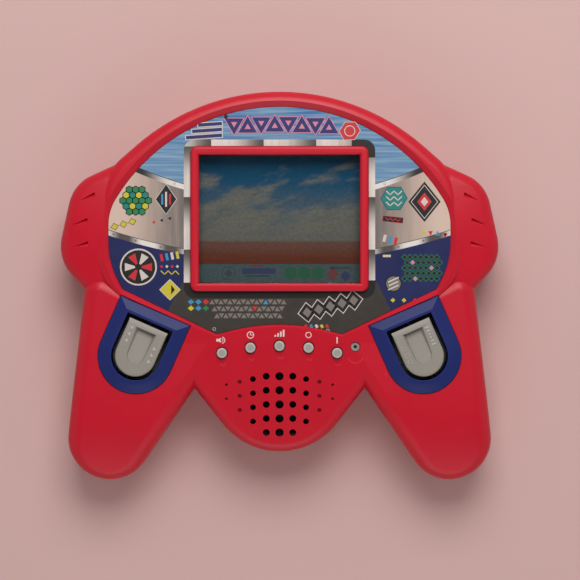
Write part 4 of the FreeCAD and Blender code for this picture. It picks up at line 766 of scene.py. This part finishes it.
class HANDHELD_OT_faceplate(bpy.types.Operator):
    """The printed sheet round the screen, with a design of hexagons, diamonds, triangles and stripes"""
    bl_idname = "handheld.faceplate"
    bl_label = "Faceplate"
    tints = {
        "navy": (40, 40, 104), "pink": (206, 128, 146), "white": (206, 194, 184), "red": (196, 44, 52),
        "yellow": (200, 184, 52), "green": (42, 122, 78), "teal": (30, 124, 116), "cyan": (62, 138, 180),
        "black": (26, 23, 24), "grey": (122, 114, 106),
    }

    def execute(self, context):
        looks = context.scene.handheld_face
        sheet = printed_sheet(looks)
        stand_in("faceplate", sheet)
        self.fill_corners(sheet)
        self.top = box_of("faceplate")[1].z
        self.layer_height = looks.ink_height / MM
        self.marks = {tint: [] for tint in self.tints}
        self.draw_title()
        self.draw_rivets()
        self.draw_left_side()
        self.draw_right_side()
        self.draw_bottom()
        for tint, pieces in self.marks.items():
            piece = joined(pieces)
            thicken(piece, looks.ink_height)
            settle(piece, f"print_{tint}", "faceplate", ink(f"{tint}_ink", shown(*self.tints[tint])))
        return {"FINISHED"}

    def fill_corners(self, sheet):
        """The sheet's round corners beside the screen's frame, tucked just under the sheet's edge."""
        low, high = box_of("faceplate")
        size, tuck, sink = 2.2, 0.3, 0.01
        out = FRAME_BAND + tuck - size / 2
        across, along = SCREEN_HALF_WIDTH + out, SCREEN_HALF_LENGTH + out
        corners = [("bar", i * across, j * along, size, size, 0) for i in (-1, 1) for j in (-1, 1)]
        piece = marks_on(0, SCREEN_Y, low.z, corners)
        thicken(piece, (high.z - low.z - sink) * MM)
        settle(piece, "sheet_corners", "faceplate", sheet)

    def put(self, tints, kind, x, y, width, height, turn=0.0, layer=0, step=(0, 0)):
        """A mark for each of the tints, each a step on from the one before."""
        z = self.top + layer * self.layer_height
        for i, tint in enumerate(tints.split()):
            place = x + i * step[0], y + i * step[1]
            self.marks[tint].append(flat_mark(kind, *place, width, height, turn, z))

    def put_lined(self, tint, line, kind, x, y, width, height, turn=0.0, edge=0.7, layer=0):
        """A mark with a line of another colour round it."""
        self.put(line, kind, x, y, width + edge, height + edge, turn, layer)
        self.put(tint, kind, x, y, width, height, turn, layer + 1)

    def put_honeycomb(self, x, y, cell, rows, tints):
        """Rows of hexagons with a dark line round each."""
        rise = 0.866 * cell
        for row, count in enumerate(rows):
            up = ((len(rows) - 1) / 2 - row) * rise
            for i in range(count):
                along = (i - (count - 1) / 2) * cell
                self.put("black", "hexagon", x + along, y + up, cell * 1.3, cell * 1.3, 0, 0)
                self.put(tints[(row + 2 * i) % len(tints)], "hexagon", x + along, y + up, cell, cell, 0, 1)

    def put_zigzag(self, tint, x, y, count, size, turn=0, layer=0):
        """Bars in a row, leaning to and fro."""
        lean = math.radians(turn)
        for i in range(count):
            along = (i - (count - 1) / 2) * size
            place = x + along * math.cos(lean), y + along * math.sin(lean)
            self.put(tint, "bar", *place, size * 1.5, size * 0.28, turn + (45 if i % 2 else -45), layer)

    def draw_title(self):
        """A row of triangles over the screen, stripes on its left and a badge on its right."""
        for i in range(8):
            x, turn = -16.4 + i * 4.9, 180 * (1 - i % 2)
            y = (59.4 if turn else 58) - abs(x) * 0.04
            self.put_lined("navy", "pink", "triangle", x, y, 7.8, 7.8, turn, 1.2)
            self.put("pink", "triangle", x, y, 2.6, 2.6, turn, 2)
        for row, length in enumerate((8.6, 10.8, 13)):
            self.put_lined("navy", "white", "bar", -20.8 - length / 2, 58.6 - row * 2.2, length, 1.2, 4)
        self.put_lined("red", "white", "hexagon", 25.4, 56.2, 7.6, 7, 30, 0.5)
        self.put("white", "ring", 25.4, 56.2, 4, 4, 0, 2)

    def draw_rivets(self):
        """Small rivets along the printed trims, and a dark hole by the title."""
        rivets = [("ring", 0.9, UPPER_TRIM, (38, 53)), ("disc", 0.8, LOWER_TRIM, (36.5, 43, 52, 60))]
        for kind, size, trim, places in rivets:
            for out in places:
                self.put("grey grey", kind, -out, trim_height(trim, out), size, size, step=(2 * out, 0))
        self.put("black", "disc", -19.4, 61.4, 1.5, 1.5)

    def draw_left_side(self):
        """A honeycomb and striped diamonds above, a pinwheel and split diamonds below."""
        self.put_honeycomb(-52, 31, 2.3, (3, 4, 5, 4, 3), ("green", "yellow", "green", "teal"))
        self.put_lined("black", "white", "diamond", -41, 31.5, 7.4, 10.6, 0, 0.6)
        self.put("cyan red", "bar", -42.4, 31.5, 0.7, 3.8, 0, 2, (2.8, 0))
        self.put("white", "bar", -41, 31.5, 0.7, 5.4, 0, 2)
        for i in range(3):
            self.put_lined("yellow", "black", "diamond", -59.6 + i * 3.2, 21.6 + i * 0.9, 2.6, 2.2, 15, 0.5)
        self.put("red black black", "triangle", -45.4, 23.2, 1.5, 1.5, 90, 0, (2.9, 0.7))
        x, y, reach = -51, 7, 3.3
        self.put_lined("black", "white", "disc", x, y, 12.2, 12.2, 0, 1.2)
        for turn in range(0, 360, 60):
            lean = math.radians(turn)
            place = x + reach * math.cos(lean), y + reach * math.sin(lean)
            self.put("white" if turn % 120 else "red", "triangle", *place, 3.4, 6.4, turn + 90, 2)
        self.put("black", "disc", x, y, 2.4, 2.4, 0, 3)
        self.put_lined("yellow", "white", "diamond", -39.6, -1.2, 7, 7, 0, 0.8)
        self.put("black", "triangle", -38.7, -1.2, 4, 1.8, -90, 2)
        self.put("red cyan white yellow", "bar", -42.6, 10.4, 1, 2.6, 12, 0, (1.9, 0.3))
        self.put("red white red white", "diamond", -42.6, 7.2, 1.2, 1.2, step=(1.9, 0))
        self.put_zigzag("yellow", -39.6, 5, 5, 1.3)
        self.put("white", "ring", -55, -3.6, 1.3, 1.3)

    def draw_right_side(self):
        """A panel of zigzags and nested diamonds above, a lattice and a striped disc below."""
        self.put_lined("teal", "navy", "hexagon", 41.4, 31.8, 9.4, 9, 30, 0.5)
        for i in range(3):
            self.put_zigzag("white", 41.4, 33.8 - i * 2, 4, 1.4, 0, 2)
        nested = [(14.6, "black"), (12.4, "white"), (11.6, "black"), (6.6, "red"), (3.4, "white")]
        for layer, (size, tint) in enumerate(nested):
            self.put(tint, "diamond", 52.4, 30.6, size * 0.8, size, 0, layer)
        self.put_lined("black", "red", "bar", 41, 24.2, 7.2, 1.8, -6, 0.3)
        self.put_zigzag("red", 41, 24.2, 6, 0.9, -6, 2)
        self.put("yellow cyan", "triangle", 52, 19.8, 1.9, 2.4, 0, 0, (5.2, -0.8))
        self.put("red red", "triangle", 54.6, 19.4, 1.9, 2.4, 180, 0, (5.2, -0.8))
        for row in range(5):
            for column in range(7):
                accent = (3 * row + 2 * column) % 11 == 5
                x, y = 45.2 + column * 1.95 + (row % 2) * 0.98, 10.6 - row * 1.95
                self.put_lined("pink" if accent else "black", "green", "diamond", x, y, 1.7, 1.7, 0, 0.6)
        self.put_lined("grey", "black", "disc", 41.2, 1, 5.2, 5.2)
        for i in range(3):
            self.put("white", "bar", 41.2, 2.4 - i * 1.4, 3.6 + abs(i - 1) * 0.6, 0.5, 24, 2)
        self.put("white cyan red", "bar", 38, 17.4, 1.1, 2.6, -12, 0, (2, -0.5))
        self.put("yellow yellow red", "diamond", 41, -5, 1.7, 1.7, step=(4, 0))
        self.put_lined("white", "yellow", "bar", 38.8, 11, 2.6, 0.6, 0, 0.3)
        self.put("white", "ring", 55, -3.6, 1.3, 1.3)

    def draw_bottom(self):
        """A strip of small triangles on the left and linked diamonds on the right."""
        for row, count in enumerate((17, 16, 15)):
            for i in range(count):
                x, y = -24.4 + row * 0.9 + i * 1.62, -5.6 - row * 2.5
                tint = {(1, 9): "red", (0, 12): "cyan"}.get((row, i), "grey")
                self.put(tint, "triangle", x, y - 0.3 * (-1) ** i, 2.4, 2.3, 180 * (i % 2))
        self.put("cyan cyan red", "diamond", -32, -5.6, 2.4, 2, step=(2.7, 0))
        self.put("yellow cyan green", "diamond", -32, -7.9, 2.4, 2, step=(2.7, 0))
        for i in range(5):
            x, y = 10 + i * 4.2, -9.4 + i * 1.1
            self.put_lined("black", "white", "diamond", x, y, 6.2, 6.8, 8, 0.9, i % 2)
            self.put("grey", "diamond", x, y, 3.4, 3.8, 8, 3)
        self.put("red cyan white yellow red", "bar", 9.6, -14.4, 1, 1.3, 30, 0, (1.9, 0))
        self.put("white", "ring", 17.5, -16, 1.2, 1.2)
        self.put("white", "ring", -23.6, -15.4, 1.2, 1.2)


class HANDHELD_OT_screen(bpy.types.Operator):
    """The clear window, the panel and the picture behind it"""
    bl_idname = "handheld.screen"
    bl_label = "Screen"

    def execute(self, context):
        looks = context.scene.handheld_screen
        stand_in("screen_lens", clear_plastic("clear_window", (0.97, 0.98, 0.97), 0.06, 0.5), 0.15 * MM)
        stand_in("lcd_glass", clear_plastic("clear_panel", (0.9, 0.92, 0.91), 0.12, 0.15))
        stand_in("lcd_backing_card", ink("card", shown(120, 124, 118)))
        self.print_picture(looks)
        coat("lcd_holder", moulded("white_plastic", shown(196, 196, 188), 0.5, 0.3, 0.2))
        coat("contact_strips", rubbery("black_strips", shown(40, 40, 42)))
        return {"FINISHED"}

    def print_picture(self, looks):
        """The picture on the card, and small signs on the strip along its bottom."""
        top = box_of("lcd_backing_card")[1].z
        layer = 0.02
        width, length = 2 * SCREEN_HALF_WIDTH + 1, 2 * SCREEN_HALF_LENGTH - 0.6
        picture = flat_mark("bar", 0, SCREEN_Y, width, length, 0, top)
        thicken(picture, layer * MM)
        settle(picture, "screen_print", "lcd_backing_card", screen_picture(looks))
        signs = {
            "strip_dark": ((52, 70, 80), [("ring", -18.6, 3.6, 5, 5, 0), ("diamond", -18.6, 3.6, 3, 3, 0),
                                          ("bar", -8, 2.6, 9, 0.7, 0), ("bar", 22, 5.6, 8, 0.7, 0)]),
            "strip_navy": ((44, 58, 104), [("bar", -7.6, 4.4, 12, 2, 0), ("hexagon", 24, 2.6, 3.4, 3.4, 0)]),
            "strip_green": ((30, 96, 70), [("hexagon", 4 + 5 * i, 3.7, 5.2, 5.2, 0) for i in range(3)]),
            "strip_red": ((122, 54, 60), [("diamond", 19.4, 3.4, 4.6, 5, 0), ("bar", -8.6, 6.3, 4, 0.8, 0)]),
        }
        for name, (tint, marks) in signs.items():
            piece = marks_on(0, SCREEN_Y - SCREEN_HALF_LENGTH, top + layer, marks)
            thicken(piece, layer * MM)
            settle(piece, name, "lcd_backing_card", ink(name, shown(*tint), 0.5))


class HANDHELD_OT_thumb_pads(bpy.types.Operator):
    """The blue surrounds and grey rockers, with their moulded marks"""
    bl_idname = "handheld.thumb_pads"
    bl_label = "Thumb Pads"

    def execute(self, context):
        looks = context.scene.handheld_pads
        # Both are darkened down in the gap round each rocker: painted shade
        blue = moulded("blue_plastic", looks.surround, 0.42, shine=0.25, painted_shade=shade_in_the_well)
        grey = moulded("grey_plastic", looks.rocker, 0.5, 0.5, 0.6, painted_shade=shade_in_the_well)
        rubbed = moulded("rubbed_grey_plastic", looks.mark, 0.5, 0.3, 0.2)
        rubber = rubbery("keypad_rubber", shown(120, 120, 116))
        board = circuit_board("pad_board")
        cable = moulded("cable_plastic", shown(188, 188, 192), 0.45, 0.2, 0.1)
        for name, side in SIDES:
            stand_in(f"{name}_bezel", blue, looks.edge)
            stand_in(f"{name}_rocker", grey, looks.edge)
            self.mould_marks(name, side, looks, rubbed)
            coat(f"{name}_key_mat", rubber)
            coat(f"{name}_key_board", board)
            coat(f"{name}_flat_cable", cable)
        return {"FINISHED"}

    def mould_marks(self, name, side, looks, rubbed):
        """Raised marks beside the thumb channels: arrowheads on the left, rings and steps on the right."""
        out = 5.2
        marks = []
        for i in range(3):
            if side < 0:
                marks += [("triangle", -out, 9 - 2.5 * i, 1.9, 1.8, 90),
                          ("triangle", out, 5 - 2.5 * i, 1.9, 1.8, -90)]
            else:
                steps = [("bar", out, 5.8 + way * (0.6 + 1.3 * i), 0.7 + 0.5 * i, 0.6, 0) for way in (1, -1)]
                marks += [("ring", -out, 5 - 2.5 * i, 1.7, 1.7, 0), *steps]
        rocker = f"{name}_rocker"
        piece = marks_on(side * PAD_X, PAD_Y, box_of(rocker)[1].z, marks, side * PAD_TILT)
        thicken(piece, looks.mark_height)
        soften(piece, 0.05 * MM, 1)
        settle(piece, f"{rocker}_marks", rocker, rubbed)


class HANDHELD_OT_function_buttons(bpy.types.Operator):
    """The five small buttons, the reset button, their printed signs and the moulded arcs under them"""
    bl_idname = "handheld.function_buttons"
    bl_label = "Function Buttons"
    # Each sign's marks: kind, place across and up, width, height, turn
    signs = {
        "sound_button": [("bar", -1.3, 0, 0.6, 0.8, 0), ("triangle", -0.7, 0, 1.7, 1.5, 90),
                         ("arc", -0.2, 0, 1.2, 1.2, 0), ("arc", -0.2, 0, 2.3, 2.1, 0)],
        "time_button": [("ring", 0, 0, 2.1, 2.1, 0), ("bar", 0, 0.3, 0.22, 0.8, 0),
                        ("bar", 0.3, 0, 0.7, 0.22, 0)],
        "level_button": [("bar", -1.2 + 0.8 * i, 0.25 * i - 0.75, 0.5, 0.5 + 0.5 * i, 0) for i in range(4)],
        "off_button": [("ring", 0, 0, 1.8, 1.8, 0)],
        "on_button": [("bar", 0, 0, 0.36, 1.8, 0)],
    }

    def execute(self, context):
        looks = context.scene.handheld_buttons
        # Painted shade: each small button is darker in its middle than at its rim
        pale = moulded("button_plastic", looks.colour, 0.35, 0.2, 0.4,
                       painted_shade=lambda paint: round_middles(paint, BUTTONS, 0.9, 1.5) * 0.3)
        for node in BUTTONS:
            stand_in(node, pale)
        # Painted shade: the middle of the reset button, at its hole, goes nearly black
        reset_shaded = moulded("reset_plastic", looks.reset, 0.4, 0.2, 0.4,
                       painted_shade=lambda paint: round_middles(paint, ["reset_button"], 0.5, 0.8))
        stand_in("reset_button", reset_shaded)
        coat("function_keypad", rubbery("function_rubber", shown(120, 120, 116)))
        label_ink = ink("label_ink", looks.ink)
        self.lay_on_face("button_signs", self.sign_pieces(looks), looks.ink_height, label_ink)
        self.lay_on_face("moulded_arcs", self.arc_pieces(), looks.relief, bpy.data.materials["red_plastic"])
        return {"FINISHED"}

    def sign_pieces(self, looks):
        """Each small button's sign, above it on the face."""
        pieces = []
        for node, marks in self.signs.items():
            place = middle_of(node) + Vector((0, looks.label_offset / MM, 0))
            pieces.append(marks_on(place.x, place.y, 0, marks, scale=looks.sign_scale))
        return pieces

    def arc_pieces(self):
        """A small arc under each button and a wide one under the reset button."""
        places = [middle_of(node) for node in BUTTONS]
        pieces = [flat_mark("arc", place.x + 0.4, place.y - 3.6, 2.2, 2.2, -90) for place in places]
        reset = middle_of("reset_button")
        return pieces + [flat_mark("arc", reset.x, reset.y - 3.2, 5.8, 5.8, -90)]

    def lay_on_face(self, name, pieces, thickness, material):
        """Lowers every point of flat pieces from above the case straight down onto its face."""
        gap = 0.005 * MM
        piece = joined(pieces)
        piece.data.transform(Matrix.Translation((0, 0, CAD_BOX[1].z)))
        finish_with(piece, "SHRINKWRAP", target=bpy.data.objects["front_shell_finish"], offset=gap,
                    wrap_method="PROJECT", use_project_z=True, use_negative_direction=True,
                    use_positive_direction=False)
        thicken(piece, thickness)
        settle(piece, name, "front_shell", material)


class HANDHELD_OT_inner_parts(bpy.types.Operator):
    """The boards, the speaker and what else lies inside the case"""
    bl_idname = "handheld.inner_parts"
    bl_label = "Inner Parts"

    def execute(self, context):
        coat("main_board", circuit_board("main_board_laminate"))
        coat("chip_cap", moulded("chip_resin", shown(22, 22, 24), 0.25, 0.1, 0.1))
        coat("capacitors", moulded("capacitor_sleeve", shown(36, 40, 70), 0.35, 0.1, 0.1))
        coat("timing_crystal", plated("crystal_can", (0.7, 0.7, 0.7), 0.3))
        stand_in("speaker_basket", moulded("basket_paint", shown(24, 24, 25), 0.55, 0.2, 0.1))
        stand_in("speaker_cone", moulded("cone_film", shown(16, 16, 17), 0.6, 0.2, 0.1))
        coat("speaker_magnet", moulded("magnet_ceramic", shown(52, 52, 54), 0.7, 1.0, 0.1))
        stand_in("speaker_leads", moulded("lead_plastic", shown(150, 24, 26), 0.45, 0.1, 0.1))
        return {"FINISHED"}


class HANDHELD_OT_battery_bay(bpy.types.Operator):
    """The battery door, the two cells and their contacts"""
    bl_idname = "handheld.battery_bay"
    bl_label = "Battery Bay"

    def execute(self, context):
        stand_in("battery_door", bpy.data.materials["red_plastic"], 0.25 * MM)
        self.mould_grip()
        for node in ("upper_battery", "lower_battery"):
            stand_in(node, cell_wrap(node), 0.35 * MM)
        spring = plated("contact_plating", (0.72, 0.71, 0.68), 0.25, (1, 1, 12))
        for node in ("bridge_contact", "positive_contact", "negative_contact"):
            stand_in(node, spring, 0.05 * MM)
        return {"FINISHED"}

    def mould_grip(self):
        """Raised ribs for a thumb and an arrow, on the outside of the door at its latch."""
        low, high = box_of("battery_door")
        proud, root = 0.2, 0.05
        ribs = [("bar", 0, 2.2 + 1.7 * i, 16 - 2 * i, 0.7, 0) for i in range(5)]
        piece = marks_on(0, low.y, low.z - proud, ribs + [("triangle", 0, 12.6, 4.6, 3.6, 180)])
        thicken(piece, (proud + root) * MM)
        soften(piece, 0.08 * MM)
        settle(piece, "door_grip", "battery_door", bpy.data.materials["red_plastic"])


class HANDHELD_OT_fasteners(bpy.types.Operator):
    """The screws of the case and of the boards"""
    bl_idname = "handheld.fasteners"
    bl_label = "Fasteners"

    def execute(self, context):
        zinc = plated("screw_zinc", (0.6, 0.6, 0.61), 0.3)
        for node, slot_length in (("case_screws", 3.2), ("board_screws", 2.4), ("key_board_screws", 2.4)):
            piece = copy_of(node)
            cutter = self.crosses(node, slot_length)
            finish_with(piece, "BOOLEAN", object=cutter, operation="DIFFERENCE", solver="EXACT",
                        use_self=True)
            pick_only(cutter)
            bpy.ops.object.delete()
            soften(piece, 0.12 * MM, degrees=40)
            smooth(piece)
            stands_for(piece, node, zinc)
        return {"FINISHED"}

    def crosses(self, node, length):
        """Two crossed bars that reach into the underside of every screw head of a node."""
        apart, width, start, height = 6 * MM, length / 4.5, 0.5, 1.2
        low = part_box(node)[0].z
        rims = []
        for vertex in frame["nodes"][node].data.vertices:
            if vertex.co.z < low + WELD:
                near = [rim for rim in rims if (vertex.co - rim[0]).length < apart]
                if near:
                    near[0].append(vertex.co)
                else:
                    rims.append([vertex.co])
        bars = []
        for count, rim in enumerate(rims):
            x, y, z = ((min(places) + max(places)) / 2 / MM for places in zip(*rim))
            for turn in (74 * count, 74 * count + 90):
                bars.append(flat_mark("bar", x, y, length, width, turn, low / MM - start))
        cutter = joined(bars)
        thicken(cutter, height * MM)
        return cutter


class HANDHELD_OT_stage(bpy.types.Operator):
    """The floor, the lamps and the camera above the face"""
    bl_idname = "handheld.stage"
    bl_label = "Stage"

    def execute(self, context):
        looks = context.scene.handheld_stage
        self.lay_floor(looks)
        self.hang_lamps(context, looks)
        self.place_camera(context, looks)
        context.scene.view_settings.view_transform = "Standard"
        return {"FINISHED"}

    def lay_floor(self, looks):
        size, gap, touch = 20, 0.1 * MM, 0.3 * MM
        bpy.ops.mesh.primitive_plane_add(size=size, location=(0, 0, -gap))
        floor = bpy.context.object
        floor.name = "floor"
        paint = Paint("floor_paper", base_color=looks.floor, roughness=0.8, specular_ior_level=0.1)
        # From below it is clear, and light comes through it to the back that lies on it and to the open bay
        below = paint.node("ShaderNodeNewGeometry", result="Backfacing")
        touching = paint.node("ShaderNodeLightPath", result="Ray Length") < touch
        low, high = box_of("battery_door")
        x, y, z = paint.axes()
        under_bay = (x > low.x) & (x < high.x) & (y > low.y) & (y < high.y)
        paint.show_through(~(below | touching | under_bay))
        floor.data.materials.append(paint.material)

    def hang_lamps(self, context, looks):
        world = bpy.data.worlds.new("soft_light")
        world.use_nodes = True
        sky = Nodes(world.node_tree)
        height = sky.parts(sky.node("ShaderNodeTexCoord", result="Generated"))[2]
        sockets = {"Value": height, "From Min": 0.1, "To Min": looks.fill, "To Max": looks.overhead}
        strength = sky.node("ShaderNodeMapRange", None, sockets)
        background = world.node_tree.nodes["Background"]
        sky.feed(background.inputs["Strength"], strength)
        sky.feed(background.inputs["Color"], (1, 0.97, 0.96))
        context.scene.world = world
        # Each lamp's name, place, lean in degrees, width and power
        lamps = [("key_lamp", (0.05, 0.45, 0.62), -36, 0.45, looks.key),
                 ("near_lamp", (0, -0.7, 0.4), 60, 0.6, looks.near)]
        for name, place, lean, size, power in lamps:
            bpy.ops.object.light_add(type="AREA", location=place, rotation=(math.radians(lean), 0, 0))
            lamp = bpy.context.object
            lamp.name = name
            lamp.data.size = size
            lamp.data.energy = power

    def place_camera(self, context, looks):
        # The point of the face that the view is centred on
        centre = Vector((3.8, -1.3, 22)) * MM
        bpy.ops.object.camera_add(location=centre + Vector((0, 0, looks.distance)), rotation=(0, 0, 0))
        camera = bpy.context.object
        camera.name = "face_camera"
        camera.data.lens = camera.data.sensor_width * looks.distance / looks.view_width
        camera.data.clip_start = 0.01
        context.scene.camera = camera


class HANDHELD_PT_panel(bpy.types.Panel):
    """Sizes, colours and steps of the handheld game"""
    bl_idname = "HANDHELD_PT_panel"
    bl_label = "Handheld Game"
    bl_space_type = "VIEW_3D"
    bl_region_type = "UI"
    bl_category = "Handheld Game"

    def draw(self, context):
        for name, group, operators in STEPS:
            box = self.layout.box()
            looks = getattr(context.scene, name)
            for prop in group.__annotations__:
                box.prop(looks, prop)
            for operator in operators:
                box.operator(operator.bl_idname)


STEPS = [
    ("handheld_case", CaseLooks, [HANDHELD_OT_case]),
    ("handheld_face", FaceLooks, [HANDHELD_OT_faceplate]),
    ("handheld_screen", ScreenLooks, [HANDHELD_OT_screen]),
    ("handheld_pads", PadLooks, [HANDHELD_OT_thumb_pads]),
    ("handheld_buttons", ButtonLooks, [HANDHELD_OT_function_buttons, HANDHELD_OT_inner_parts,
                                       HANDHELD_OT_battery_bay, HANDHELD_OT_fasteners]),
    ("handheld_stage", StageLooks, [HANDHELD_OT_stage]),
]


def register():
    for name, group, operators in STEPS:
        bpy.utils.register_class(group)
        setattr(bpy.types.Scene, name, PointerProperty(type=group))
        for operator in operators:
            bpy.utils.register_class(operator)
    bpy.utils.register_class(HANDHELD_PT_panel)


def unregister():
    bpy.utils.unregister_class(HANDHELD_PT_panel)
    for name, group, operators in reversed(STEPS):
        for operator in operators:
            bpy.utils.unregister_class(operator)
        delattr(bpy.types.Scene, name)
        bpy.utils.unregister_class(group)


def main():
    register()
    for name, group, operators in STEPS:
        for operator in operators:
            getattr(bpy.ops.handheld, operator.bl_idname.split(".")[1])()


if __name__ == "__main__":
    main()
